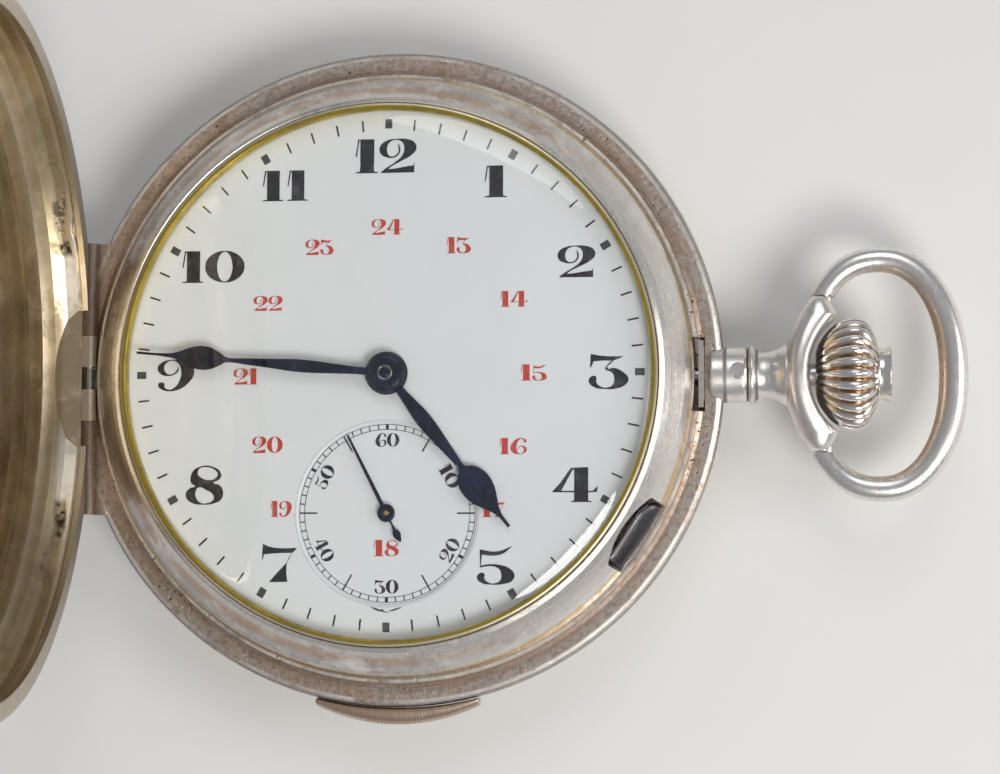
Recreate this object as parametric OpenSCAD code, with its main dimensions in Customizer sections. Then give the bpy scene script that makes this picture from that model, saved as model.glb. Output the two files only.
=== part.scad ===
/* [Case] */
// radius of the case at its widest, round the middle of the band
case_r = 27; // [26.5:0.1:28]
// radius that the movement drops into
movement_bore_r = 22.45; // [22.4:0.01:22.55]
// wall thickness of the two outer covers
cover_wall = 0.55; // [0.4:0.05:0.7]
// how far the front cover stands open at rest, in degrees
front_open = 88; // [70:1:90]
// radius of the flat that the case rests on
rest_flat_r = 11; // [6:0.5:13]

/* [Hinges] */
// length of both hinges along the left side
hinge_len = 22.6; // [20:0.2:23]
// radius of the front cover's knuckles
front_knuckle_r = 0.65; // [0.55:0.01:0.7]
// radius of the back hinge's knuckles
back_knuckle_r = 0.6; // [0.5:0.01:0.65]
// radius of the hinge pins
hinge_pin_r = 0.3; // [0.25:0.01:0.35]

/* [Pendant, bow and crown] */
// radius of the pendant's base
pendant_r = 2.25; // [2.1:0.05:2.4]
// radius of the crown over its ribs
crown_r = 4.6; // [4.3:0.05:4.8]
// number of ribs round the crown
crown_ribs = 24; // [20:1:28]
// half width of the bow, to the middle of its wire
bow_half_w = 9.25; // [9:0.05:9.6]
// wire radius of the bow at its far side
bow_wire_r = 1.15; // [0.9:0.05:1.25]
// travel of the crown when it is pressed to free the cover
press_travel = 0.6; // [0.3:0.05:0.6]

/* [Dial and hands] */
// radius of the enamel dial
dial_r = 22.5; // [22:0.05:22.5]
// radius of the sunk seconds dial
seconds_dial_r = 7.5; // [7.3:0.05:7.6]
// length of the hour hand from its centre
hour_hand_len = 15.8; // [14:0.1:16.5]
// length of the minute hand from its centre
minute_hand_len = 20.6; // [19:0.1:20.8]
// length of the seconds hand from its centre
seconds_hand_len = 7; // [6:0.1:7]

/* [Movement] */
// radius of the main plate
plate_r = 22.35; // [22.2:0.01:22.35]
// rim radius of the balance
balance_r = 6.2; // [5.6:0.05:6.3]
// radius of the two wire gongs
gong_r = 21.2; // [21.1:0.05:21.3]
// wire radius of the gongs
gong_wire_r = 0.22; // [0.15:0.01:0.25]
// thickness of the train wheels
wheel_t = 0.2; // [0.15:0.01:0.25]

/* [Clearances] */
// running fit between a shaft and its bore, on the radius
run_fit = 0.05; // [0.03:0.01:0.06]
// gap between faces that close on each other
seam = 0.06; // [0.04:0.01:0.08]

/* [Hidden] */
// heights of the case, from the flat that it rests on
back_rim_z = 5;
front_rim_z = 7.6;
bezel_z = 8.1;
pendant_z = 6.4;
dial_top_z = 10.6;
dial_under_z = 9.9;
// the case's parts are drawn for a seat of 22.45 and a case of 27, and their radii move with the real ones
seat_r = max(movement_bore_r, plate_r + 0.1, dial_r - 0.05);
function at(r) = r > 22.45 ? seat_r + (r - 22.45) * (case_r - seat_r) / (27 - 22.45) : r * seat_r / 22.45;
out_x = case_r + 1;
// hinge axes, both on the left of the case
hinge_x = -at(25.7);
hinge_cut_y = hinge_len / 2 + 0.3;
front_hinge_z = front_rim_z + 0.05;
back_hinge_z = back_rim_z;
chord_x = hinge_x - 0.6;
front_flange_z = front_rim_z + 0.1;
pin_fit = 0.03;
knuckle_gap = 0.05;
lid_knuckle_in = 0.95;
lid_knuckle_out = 3.55;
back_knuckle_in = 3.62;
back_knuckle_out = 7.4;
// heights of the movement, the dial side up
plate_under_z = 7.6;
plate_top_z = 8.9;
bridge_z = 3.6;
bridge_t = 1.1;
center_wheel_z = 4.9;
third_wheel_z = 6.6;
fourth_wheel_z = 5.9;
escape_wheel_z = 6.72;
winding_wheel_z = 3;
barrel_z = 5.5;
// train: leaves, teeth and modules
mod_barrel = 0.19;
mod_center = 0.18;
mod_third = 0.165;
mod_fourth = 0.15;
mod_wind = 0.2;
mod_minute = 0.18;
mod_rack = 0.2;
barrel_teeth = 90;
center_leaves = 12;
center_teeth = 80;
third_leaves = 10;
third_teeth = 75;
fourth_leaves = 10;
fourth_teeth = 70;
escape_leaves = 7;
escape_teeth = 15;
mod_face = 0.19;
winding_leaves = 12;
face_teeth = 33;
crown_wheel_teeth = 36;
ratchet_teeth = 62;
cannon_teeth = 12;
minute_teeth = 36;
minute_leaves = 10;
hour_teeth = 40;
rack_circle_teeth = 202;
strike_leaves = 14;
mesh_gap = 0.03;
// centres of the movement in plan, 12 o'clock up and the crown to the right
function polar(r, a) = [r * cos(a), r * sin(a)];
function bearing(p, q) = atan2(q[1] - p[1], q[0] - p[0]);
function apart(p, q) = norm([q[0] - p[0], q[1] - p[1]]);
// the point at ra from p and rb from q, on the right-hand side of the line from p to q
function meet(p, ra, q, rb) =
    let (d = apart(p, q), a = (ra * ra - rb * rb + d * d) / (2 * d), h = sqrt(ra * ra - a * a),
         u = [(q[0] - p[0]) / d, (q[1] - p[1]) / d])
    [p[0] + a * u[0] + h * u[1], p[1] + a * u[1] - h * u[0]];
function reach(m, a, b) = m * (a + b) / 2 + mesh_gap;
seconds_drop = 11.25;
dial_feet_r = min(dial_r - 1.9, plate_r - 1.75);
center_at = [0, 0];
fourth_at = [0, -seconds_drop];
third_at = meet(center_at, reach(mod_center, center_teeth, third_leaves), fourth_at,
    reach(mod_third, third_teeth, fourth_leaves));
barrel_at = polar(reach(mod_barrel, barrel_teeth, center_leaves), 48);
winding_reach = reach(mod_wind, crown_wheel_teeth, ratchet_teeth);
crown_wheel_at = [barrel_at[0] + sqrt(winding_reach * winding_reach - barrel_at[1] * barrel_at[1]), 0];
balance_at = [10.9, -9.5];
pallet_reach = 3.35;
fork_reach = 3.9;
escape_at = meet(fourth_at, reach(mod_fourth, fourth_teeth, escape_leaves), balance_at,
    pallet_reach + fork_reach);
fork_line = bearing(escape_at, balance_at);
pallet_at = escape_at + polar(pallet_reach, fork_line);
escape_r = 2.9;
minute_wheel_at = polar(reach(mod_minute, minute_teeth, cannon_teeth), 150);
mod_hour = (norm(minute_wheel_at) - mesh_gap) * 2 / (minute_leaves + hour_teeth);
snail_at = [6.3, 5.1];
hour_hammer_at = [-12.5, 9];
hour_head_at = [-18.6, 4.6];
quarter_hammer_at = [-15, -6.5];
quarter_head_at = [-19, -0.6];
rack_pitch_r = mod_rack * rack_circle_teeth / 2;
strike_angle = -105;
strike_at = polar(rack_pitch_r - mod_rack * strike_leaves / 2 - mesh_gap, strike_angle);
cock_foot_at = [18.2, -3.3];
barrel_pillars = [[17.8, 6.5], [-8, 14.5], [5.2, 18]];
train_pillars = [[-12.6, -9.4], [-0.3, -18]];
fork_pillars = [[4.3, -18], [12.4, -14.4]];
gong_post_angle = 212;
// pendant, crown and bow along the crown's axis
drawn_pendant_x = 26;
pendant_x = at(drawn_pendant_x);
plug_x = pendant_x + 2.15;
yoke_x = pendant_x + 5.6;
yoke_half_w = 6.25;
crown_x = pendant_x + 8.3;
crown_len = 5;
bow_pivot_x = pendant_x + 9.2;
stem_r = 0.58;
collar_r = 1;
collar_x = at(25.45);
crown_profile = [[0, 2.2], [0.25, 2.9], [0.8, 3.65], [1.6, 4.2], [2.5, 4.5], [3.2, 4.52],
    [3.9, 4.25], [4.45, 3.75], [4.8, 3.15], [5, 2.5]];
// time that the hands show, as angles from 3 o'clock
hour_angle = -51;
minute_angle = 175;
seconds_angle = 117;
// repeater slide on the band
slide_mid = -89.3;
slide_half = 13;
slide_travel = 25;
lever_angle = -33;
lever_half = 3.1;

// a round bar along X between two places
module bar_x(x0, x1, r, z = pendant_z) {
    translate([x0, 0, z]) rotate([0, 90, 0]) rotate([0, 0, 37]) cylinder(h = x1 - x0, r = r, $fn = 64);
}

// a round bar along Y between two places
module bar_y(y0, y1, r, x, z) {
    translate([x, y0, z]) rotate([-90, 0, 0]) cylinder(h = y1 - y0, r = r, $fn = 48);
}

// a round post standing at a place in plan
module post(at, z0, z1, r) {
    translate([at[0], at[1], z0]) cylinder(h = z1 - z0, r = r, $fn = 40);
}

// outline of a ring of pointed watch teeth, one of them centred on the bearing given
module teeth_outline(n, m, tooth_bearing, tip = 1, root = 1.25) {
    pitch = 360 / n;
    polygon([for (i = [0 : n - 1], k = [0 : 3])
        let (r = m * n / 2 + (k == 1 || k == 2 ? tip * m : -root * m),
             a = tooth_bearing + i * pitch + [-0.24, -0.09, 0.09, 0.24][k] * pitch)
        polar(r, a)]);
}

// a flat wheel with a toothed rim, a hub and arms
module train_wheel(at, z, n, m, tooth_bearing, hub, arms) {
    inner = m * n / 2 - 1.25 * m - 0.42;
    translate([at[0], at[1], z]) linear_extrude(height = wheel_t) {
        difference() {
            teeth_outline(n, m, tooth_bearing);
            circle(r = inner, $fn = 64);
        }
        circle(r = hub, $fn = 48);
        for (i = [0 : arms - 1]) rotate(i * 360 / arms + 17)
            translate([hub * 0.7, -0.19]) square([inner - hub * 0.7 + 0.2, 0.38]);
    }
}

// a pinion with leaves
module pinion(at, z0, z1, n, m, tooth_bearing) {
    translate([at[0], at[1], z0]) linear_extrude(height = z1 - z0)
        teeth_outline(n, m, tooth_bearing, tip = 0.85);
}

// outline of a flat arm between two round ends
module arm_outline(p, rp, q, rq) {
    translate(p) circle(r = rp, $fn = 48);
    translate(q) circle(r = rq, $fn = 48);
    a = bearing(p, q);
    s = a + acos((rp - rq) / apart(p, q));
    t = a - acos((rp - rq) / apart(p, q));
    polygon([p + polar(rp, s), q + polar(rq, s), q + polar(rq, t), p + polar(rp, t)]);
}

// outline of a hand along +X from distances and half widths, mirrored about its middle
module hand_outline(pairs, length) {
    n = len(pairs);
    k = length / pairs[n - 1][0];
    polygon(concat([for (p = pairs) [p[0] * k, p[1]]],
        [for (i = [n - 1 : -1 : 0]) [pairs[i][0] * k, -pairs[i][1]]]));
}

// a sector of ring with square section
module ring_sector(r0, r1, z0, z1, a0, a1) {
    rotate([0, 0, a0]) rotate_extrude(angle = a1 - a0, $fn = 96)
        polygon([[r0, z0], [r1, z0], [r1, z1], [r0, z1]]);
}

// the space that the pendant takes out of the covers' rims
module pendant_space() {
    bar_x(at(20), pendant_x + 6, pendant_r + 0.3);
}

// the bore for a hinge pin through all the knuckles
module hinge_bore(z) {
    bar_y(-hinge_len / 2 - 0.7, hinge_len / 2 + 0.7, hinge_pin_r + pin_fit, hinge_x, z);
}

// the middle band, with both cover seats, the knuckles and the slots
module band() {
    front_y = lid_knuckle_out + knuckle_gap;
    back_y = back_knuckle_out + knuckle_gap;
    color([0.62, 0.57, 0.53]) difference() {
        union() {
            difference() {
                rotate([0, 0, 90]) rotate_extrude($fn = 128) polygon([
                    [seat_r, 7.15], [seat_r, 8.75], [at(23.55), 8.75], [at(23.55), bezel_z],
                    [at(24.95), bezel_z], [at(25.12), 7.82], [at(25.45), front_rim_z],
                    [at(26.5), front_rim_z], [at(26.85), 7.38], [case_r, 6.95], [case_r, 5.9],
                    [at(26.88), 5.45], [at(26.6), back_rim_z], [at(24), back_rim_z], [at(24), 5.6],
                    [at(25.8), 5.6], [at(26.1), 5.9], [at(26.1), 6.8], [at(25.8), 7.15]]);
                // room for the covers' knuckles and the heels of their walls
                translate([-out_x, -front_y, 6.9])
                    cube([out_x + hinge_x + front_knuckle_r + 0.08, 2 * front_y, 2]);
                translate([-out_x, -hinge_cut_y, 6.9]) cube([out_x + chord_x + 0.02, 2 * hinge_cut_y, 2]);
                translate([-out_x, -back_y, 4])
                    cube([out_x + hinge_x + back_knuckle_r + 0.08, 2 * back_y, 1.8]);
                translate([-out_x, -hinge_cut_y, 4]) cube([out_x + chord_x + 0.02, 2 * hinge_cut_y, 1.8]);
            }
            for (s = [0, 1]) mirror([0, s, 0]) {
                translate([hinge_x, front_y, 7]) cube([1.5, hinge_len / 2 - front_y, 0.6]);
                translate([hinge_x, back_y, 5]) cube([1.9, hinge_len / 2 - back_y, 0.6]);
                bar_y(front_y, hinge_len / 2, front_knuckle_r, hinge_x, front_hinge_z);
                bar_y(back_y, hinge_len / 2, back_knuckle_r, hinge_x, back_hinge_z);
            }
        }
        hinge_bore(front_hinge_z);
        hinge_bore(back_hinge_z);
        // the lift spring's window, the catch slot and the slide's slot
        translate([-out_x, -1.05, 6.4]) cube([out_x - at(23.9), 2.1, 0.85]);
        translate([at(24.3), -3, 6.6]) cube([at(25.45) - at(24.3), 6, 2]);
        rotate([0, 0, slide_mid - 3]) rotate_extrude(angle = slide_travel + 6, $fn = 96)
            polygon([[at(25.5), 5.95], [out_x, 5.95], [out_x, 6.75], [at(25.5), 6.75]]);
        // room for the setting lever
        rotate([0, 0, lever_angle]) translate([at(22), -lever_half - 0.2, 8.15])
            cube([at(24.4) - at(22), 2 * lever_half + 0.4, 1]);
        // the pendant's seat and the push collar's bore
        bar_x(pendant_x, out_x, pendant_r + 0.01);
        bar_x(at(24), out_x, collar_r + run_fit);
    }
}

// the tube and yoke that carry the bow, turned about the crown's axis
module pendant() {
    color([0.82, 0.82, 0.83]) translate([pendant_x - drawn_pendant_x, 0, 0]) difference() {
        union() {
            translate([0, 0, pendant_z]) rotate([0, 90, 0]) rotate_extrude($fn = 96) polygon([
                [0, 26], [pendant_r, 26], [pendant_r, 28.6], [pendant_r - 0.15, 28.8],
                [pendant_r - 0.3, 28.85], [pendant_r + 0.05, 28.98], [pendant_r + 0.12, 29.2],
                [pendant_r + 0.05, 29.42], [pendant_r - 0.25, 29.55], [1.95, 29.8], [1.85, 30.15],
                [1.9, 30.6], [2.1, 31], [2.45, 31.4], [2.85, 31.75], [2.85, 32.6], [0, 32.6]]);
            // the yoke: a crescent in plan, thinner towards its ends
            intersection() {
                translate([0, 0, pendant_z - 3]) linear_extrude(height = 6) difference() {
                    translate([39.55, 0]) circle(r = 7.95, $fn = 128);
                    translate([41.4, 0]) circle(r = 7.5, $fn = 128);
                    translate([36.25, -10]) square([20, 20]);
                }
                bar_x(30, 38, 25.2, pendant_z - 22.85);
                bar_x(30, 38, 25.2, pendant_z + 22.85);
                translate([30, -yoke_half_w, pendant_z - 3]) cube([8, 2 * yoke_half_w, 6]);
            }
        }
        bar_x(20, 40, collar_r + run_fit);
        // room for the crown at both ends of its travel
        translate([0, 0, pendant_z]) rotate([0, 90, 0]) rotate_extrude($fn = 96) polygon([
            [0, 33.4], [2.6, 33.4], [3.3, 33.75], [4.05, 34.4], [4.65, 35.2], [4.95, 36.3],
            [4.95, 41], [0, 41]]);
        bar_y(-8, 8, 0.45 + run_fit,
            bow_pivot_x - pendant_x + drawn_pendant_x, pendant_z);
        translate([28.15, 0.2, pendant_z + 1.9]) cylinder(h = 2, r = 0.7, $fn = 40);
    }
}

// the plug in the top of the pendant's base
module pendant_plug() {
    color([0.7, 0.69, 0.68]) translate([plug_x, 0.2, pendant_z + 1.9]) {
        cylinder(h = 0.3, r = 0.68, $fn = 40);
        translate([0, 0, 0.3]) cylinder(h = 0.12, r1 = 0.68, r2 = 0.5, $fn = 40);
    }
}

// the snap bezel, with the notch for the setting lever
module bezel() {
    color([0.68, 0.66, 0.62]) difference() {
        rotate_extrude($fn = 128) polygon([
            [at(23.7), bezel_z + seam], [at(24.65), bezel_z + seam], [at(24.62), 8.5], [at(24.4), 9.1],
            [at(23.95), 9.85], [at(23.4), 10.5], [at(22.85), 11.1], [at(22.4), 11.55], [at(22.1), 11.72],
            [at(22), 11.66], [at(22), 10.74], [at(22.66), 10.7], [at(22.9), 10.2], [at(23.7), 9.1]]);
        rotate([0, 0, lever_angle]) translate([0, 0, 8]) linear_extrude(height = 4) intersection() {
            translate([at(22.6), -lever_half - 0.1]) square([4, 2 * lever_half + 0.2]);
            translate([at(22.8) + 8.7, 0]) circle(r = 8.8, $fn = 96);
        }
    }
}

// the gilt ring that holds the glass
module glass_rim() {
    color([0.78, 0.63, 0.24]) rotate_extrude($fn = 128) polygon([
        [at(21.4), 10.82], [at(21.94), 10.82], [at(21.94), 11.75], [at(21.84), 12], [at(21.68), 12.02],
        [at(21.6), 11.9], [at(21.6), 11.1], [at(21.4), 11.05]]);
}

// the domed glass
module crystal() {
    color([0.85, 0.9, 0.92, 0.3]) rotate_extrude($fn = 128) polygon([
        [0, 12.7], [at(7), 12.64], [at(12.8), 12.47], [at(17.6), 12.22], [at(19.9), 12], [at(20.75), 11.74],
        [at(21.15), 11.2], [at(21.54), 11.14], [at(21.54), 11.75], [at(21.3), 12.1], [at(20.7), 12.4],
        [at(19.9), 12.62], [at(17.6), 12.84], [at(12.8), 13.09], [at(7), 13.26], [0, 13.32]]);
}

// outer line of a cover from its rim to the middle, as radius and rise above the rim's plane
front_line = [[case_r, 0], [at(26.98), 1], [at(26.8), 2.1], [at(26.35), 3.2], [at(25.5), 4.25],
    [at(24.2), 5.15], [at(22.4), 5.9], [at(20), 6.5], [at(15.5), 7.25], [at(8.5), 7.85], [0, 8.05]];
// the front cover as it lies when it is closed
module front_cover_closed() {
    difference() {
        union() {
            rotate_extrude($fn = 128) translate([0, front_flange_z])
                polygon(concat(front_line, [[0, 7.5], [at(8.4), 7.3], [at(15.4), 6.7], [at(15.6), 6.45],
                    [at(19.9), 5.9], [at(22.2), 5.32], [at(23.9), 4.6], [at(25.05), 3.8], [at(25.8), 2.9],
                    [at(26.22), 1.95], [at(26.38), 1], [at(26.38), 0.62], [at(26), 0.5], [at(25.8), 0.62],
                    [at(25.6), 0.45], [at(25.6), 0]]));
            // the flat wall and the tongue over the hinge
            intersection() {
                rotate_extrude($fn = 128) translate([0, front_flange_z])
                    polygon(concat(front_line, [[0, 0]]));
                translate([chord_x, -hinge_cut_y - 1.4, 7]) cube([0.55, 2 * hinge_cut_y + 2.8, 9]);
            }
            intersection() {
                translate([chord_x, -8.8, front_flange_z]) cube([1.25, 17.6, 0.42]);
                translate([0, 0, front_flange_z]) cylinder(h = 1, r = case_r, $fn = 128);
            }
        }
        translate([chord_x - 3, -hinge_cut_y - 1.4, 7]) cube([3, 2 * hinge_cut_y + 2.8, 9]);
        for (s = [0, 1]) mirror([0, s, 0])
            translate([-out_x, lid_knuckle_out, 6.5])
                cube([out_x + hinge_x + front_knuckle_r + 0.08,
                    hinge_len / 2 - lid_knuckle_out + 0.1, 1.88]);
        translate([-out_x, -lid_knuckle_in, 6.5])
            cube([out_x + hinge_x + front_knuckle_r + 0.08, 2 * lid_knuckle_in, 1.88]);
        translate([-out_x, -lid_knuckle_out - 0.01, 6.9])
            cube([out_x + hinge_x, 2 * lid_knuckle_out + 0.02, front_hinge_z - 6.9]);
        pendant_space();
    }
    for (s = [0, 1]) mirror([0, s, 0]) {
        bar_y(lid_knuckle_in, lid_knuckle_out, front_knuckle_r, hinge_x, front_hinge_z);
        translate([hinge_x, lid_knuckle_in, front_flange_z + 0.02])
            cube([0.65, lid_knuckle_out - lid_knuckle_in, 0.4]);
    }
}

// the front cover, standing open
module front_cover() {
    color([0.6, 0.52, 0.4]) translate([hinge_x, 0, front_hinge_z]) rotate([0, -front_open, 0])
        translate([-hinge_x, 0, -front_hinge_z]) difference() {
            front_cover_closed();
            hinge_bore(front_hinge_z);
        }
}

// the pin of the front hinge
module front_hinge_pin() {
    color([0.7, 0.7, 0.7]) bar_y(-hinge_len / 2 + 0.1, hinge_len / 2 - 0.1, hinge_pin_r, hinge_x,
        front_hinge_z);
}

// the pin that the back cover and the dust cover share
module back_hinge_pin() {
    color([0.7, 0.7, 0.7]) bar_y(-hinge_len / 2 + 0.1, hinge_len / 2 - 0.1, hinge_pin_r, hinge_x,
        back_hinge_z);
}

// the bowed spring inside the band whose finger lifts the front cover
module lift_spring() {
    color([0.2, 0.2, 0.22]) {
        ring_sector(at(24.9), at(25.4), 5.8, 6.9, 106, 178);
        translate([-at(25.45), -0.9, 5.75]) cube([at(25.45) - at(24.75), 2.3, 1.2]);
        translate([-at(25.95), -0.8, 6.5]) cube([at(25.95) - at(24.8), 1.6, 0.7]);
        rotate([0, 0, 106]) translate([at(24.9), -0.6, 5.8]) cube([at(25.4) - at(24.9), 0.8, 1.3]);
    }
}

// the bowed spring whose head is the front cover's catch, pushed in by the crown
module lock_spring() {
    color([0.35, 0.35, 0.37]) difference() {
        union() {
            ring_sector(at(24.75), at(25.25), 5.75, 6.9, 4, 72);
            translate([at(24.95), -2.7, 5.75]) cube([at(25.35) - at(24.95), 5.4, 2.33]);
            translate([at(24.95), -2.2, 7.8]) cube([at(25.41) - at(24.95), 4.4, 0.28]);
        }
        bar_x(at(24), at(26), 0.8);
    }
}

// the back cover
back_line = [[at(26.7), back_rim_z - 0.05], [at(26.55), 4.15], [at(25.9), 3.4], [at(24.6), 2.55],
    [at(22.6), 1.7], [at(20), 0.98], [at(17), 0.44]];
module back_cover() {
    color([0.72, 0.7, 0.67]) difference() {
        union() {
            difference() {
                union() {
                    rotate_extrude($fn = 128) polygon(concat(back_line, [[rest_flat_r + 3, 0.12],
                        [rest_flat_r, 0], [0, 0], [0, cover_wall], [rest_flat_r, cover_wall],
                        [at(13.9), cover_wall + 0.13], [at(16.9), 0.98], [at(19.8), 1.5], [at(22.2), 2.22],
                        [at(24.1), 3.05], [at(25.3), 3.75], [at(25.8), 4.25], [at(25.35), 4.5],
                        [at(25.3), back_rim_z - 0.05]]));
                    intersection() {
                        rotate_extrude($fn = 128) polygon(concat(back_line,
                            [[rest_flat_r + 3, 0.12], [rest_flat_r, 0], [0, 0], [0, back_rim_z - 0.05]]));
                        translate([chord_x, -hinge_cut_y - 1.4, 2]) cube([0.5, 2 * hinge_cut_y + 2.8, 3]);
                    }
                }
                translate([chord_x - 3, -hinge_cut_y - 1.4, -1]) cube([3, 2 * hinge_cut_y + 2.8, 7]);
                // room for the band's and the dust cover's knuckles
                for (s = [0, 1]) mirror([0, s, 0])
                    translate([-out_x, back_knuckle_out, 4.3])
                        cube([out_x + hinge_x + back_knuckle_r + 0.08,
                            hinge_len / 2 - back_knuckle_out + 0.1, 2]);
                translate([-out_x, -back_knuckle_in, 4.3])
                    cube([out_x + hinge_x + back_knuckle_r + 0.4, 2 * back_knuckle_in, 2]);
                pendant_space();
            }
            for (s = [0, 1]) mirror([0, s, 0]) {
                bar_y(back_knuckle_in, back_knuckle_out, back_knuckle_r, hinge_x, back_hinge_z);
                translate([hinge_x, back_knuckle_in, 4.45])
                    cube([0.9, back_knuckle_out - back_knuckle_in, 0.5]);
            }
        }
        hinge_bore(back_hinge_z);
    }
}

// the inner dust cover over the movement
module cuvette() {
    color([0.76, 0.7, 0.56]) difference() {
        union() {
            rotate_extrude($fn = 128) polygon([
                [0, 1.35], [at(12), 1.4], [at(17), 1.55], [at(20.5), 1.95], [at(22.5), 2.65],
                [at(23.7), 3.6], [at(24.2), 4.35], [at(24.9), 4.4], [at(24.9), back_rim_z - 0.05],
                [at(23.7), back_rim_z - 0.05], [at(23.7), 4.5], [at(23.2), 3.75], [at(22.15), 3.05],
                [at(20.3), 2.4], [at(16.9), 2], [at(12), 1.82], [0, 1.75]]);
            translate([hinge_x, -lid_knuckle_out, 4.42])
                cube([1.4, 2 * lid_knuckle_out, back_rim_z - 0.05 - 4.42]);
            bar_y(-lid_knuckle_out, lid_knuckle_out, back_knuckle_r, hinge_x, back_hinge_z);
        }
        hinge_bore(back_hinge_z);
    }
}

// triangles that close a tube of rings of m points, with a fan round a middle point at each end
function tube_faces(rings, m) = concat(
    [for (i = [0 : rings - 2], k = [0 : m - 1], h = [0 : 1])
        let (a = i * m + k, b = i * m + (k + 1) % m)
        h == 0 ? [a, b, b + m] : [a, b + m, a + m]],
    [for (k = [0 : m - 1]) [rings * m, (k + 1) % m, k]],
    [for (k = [0 : m - 1]) [rings * m + 1, (rings - 1) * m + k, (rings - 1) * m + (k + 1) % m]]);

// the bow: a flattened ring of round wire, thicker at its far side, on two pivots
bow_turn = 137;
bow_rings = 44;
bow_sides = 20;
function bow_path(t) = [bow_pivot_x + 4.35 + 5.8 * cos(t), bow_half_w * sin(t)];
function bow_r(t) = bow_wire_r - 0.28 * pow(abs(t) / bow_turn, 1.5);
bow_points = concat([for (i = [0 : bow_rings])
    let (t = -bow_turn + 2 * bow_turn * i / bow_rings, c = bow_path(t),
         d = [-5.8 * sin(t), bow_half_w * cos(t)], n = [d[1], -d[0]] / norm(d))
    for (k = [0 : bow_sides - 1]) let (a = 360 * k / bow_sides)
        [c[0] + n[0] * bow_r(t) * cos(a), c[1] + n[1] * bow_r(t) * cos(a),
         pendant_z + bow_r(t) * sin(a)]],
    [for (s = [-1, 1]) [bow_path(s * bow_turn)[0], bow_path(s * bow_turn)[1], pendant_z]]);
module bow() {
    color([0.8, 0.8, 0.81]) {
        difference() {
            polyhedron(bow_points, tube_faces(bow_rings + 1, bow_sides), convexity = 4);
            translate([yoke_x - 1.6, -yoke_half_w - 0.08, pendant_z - 3])
                cube([8, 2 * yoke_half_w + 0.16, 6]);
        }
        for (s = [0, 1]) mirror([0, s, 0]) {
            bar_y(yoke_half_w + 0.08, yoke_half_w + 0.75, 0.92, bow_pivot_x, pendant_z);
            bar_y(5.15, yoke_half_w + 0.3, 0.45, bow_pivot_x, pendant_z);
        }
    }
}

// the ribbed crown: each rib bulges out of an onion-shaped body
rib_steps = 4;
crown_rings = len(crown_profile);
function crown_ring_r(i, a) =
    let (w = crown_profile[i][1] * crown_r / 4.52, swell = 0.34 * sqrt(abs(cos(a * crown_ribs / 2))),
         end = i == 0 || i == crown_rings - 1)
    w - 0.3 * (end ? 0.4 : 1) + swell * (end ? 0.35 : 1);
crown_points = concat([for (i = [0 : crown_rings - 1], k = [0 : crown_ribs * rib_steps - 1])
    let (a = 360 * k / (crown_ribs * rib_steps), r = crown_ring_r(i, a))
    [crown_x + crown_profile[i][0], r * cos(a), pendant_z + r * sin(a)]],
    [for (i = [0, crown_rings - 1]) [crown_x + crown_profile[i][0], 0, pendant_z]]);
module crown() {
    color([0.6, 0.57, 0.55])
        polyhedron(crown_points, tube_faces(crown_rings, crown_ribs * rib_steps), convexity = 4);
}

// the stem that the crown is screwed to, with its shoulder
module crown_stem() {
    color([0.6, 0.6, 0.62]) {
        bar_x(19.9, crown_x, stem_r);
        bar_x(crown_x - 0.45, crown_x, collar_r - 0.1);
    }
}

// the button on the end of the crown
module crown_cap() {
    color([0.66, 0.64, 0.62]) translate([0, 0, pendant_z]) rotate([0, 90, 0]) rotate_extrude($fn = 64)
        polygon([[0, crown_x + crown_len + 0.01], [2.25, crown_x + crown_len + 0.01],
            [2.25, crown_x + 5.75], [2.1, crown_x + 5.95], [0, crown_x + 6.1]]);
}

// the sleeve round the stem that slides in with the crown and moves the catch
module push_collar() {
    color([0.72, 0.72, 0.74]) difference() {
        bar_x(collar_x, crown_x - 0.5, collar_r);
        bar_x(at(20), crown_x, stem_r + 0.12);
    }
}

// the winding shaft of the movement, with its pinion
module winding_shaft() {
    color([0.5, 0.5, 0.53]) difference() {
        union() {
            bar_x(15, 19, 0.5);
            bar_x(18.7, 21.9, 0.85);
            translate([16.25, 0, pendant_z]) rotate([0, 90, 0]) linear_extrude(height = 1.1)
                teeth_outline(winding_leaves, mod_face, 0, tip = 0.8, root = 1);
        }
        bar_x(19.1, 23, stem_r + run_fit);
    }
}

// the steel half moon in the bezel's notch that sets the hands
module setting_lever() {
    color([0.12, 0.12, 0.13]) rotate([0, 0, lever_angle]) for (k = [0 : 1])
        translate([0, 0, 8.25 + k]) linear_extrude(height = k == 0 ? 1 : 0.2) intersection() {
            circle(r = at(24.6) - 0.18 * k, $fn = 128);
            translate([at(22.7), -lever_half + 0.18 * k])
                square([3, 2 * lever_half - 0.36 * k]);
            translate([at(22.8) + 8.7, 0]) circle(r = 8.7 - 0.18 * k, $fn = 96);
        }
}

// the slide on the band's edge that winds and starts the repeater
module repeater_slide() {
    color([0.62, 0.57, 0.53]) difference() {
        rotate([0, 0, slide_mid]) union() {
            ring_sector(case_r + 0.08, case_r + 1.45, 5.45, 7.25, -slide_half + 2, slide_half - 2);
            // rounded ends
            for (s = [-1, 1]) post(polar(case_r + 0.765, s * (slide_half - 2)), 5.5, 7.2, 0.62);
            ring_sector(at(26.95), case_r + 0.3, 6, 6.7, -2.4, 2.4);
        }
        // finger grooves across the slide
        for (i = [-7 : 7]) rotate([0, 0, slide_mid + i * 1.35])
            translate([case_r + 1.6, 0, 5]) cylinder(h = 3, r = 0.27, $fn = 24);
    }
}

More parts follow.
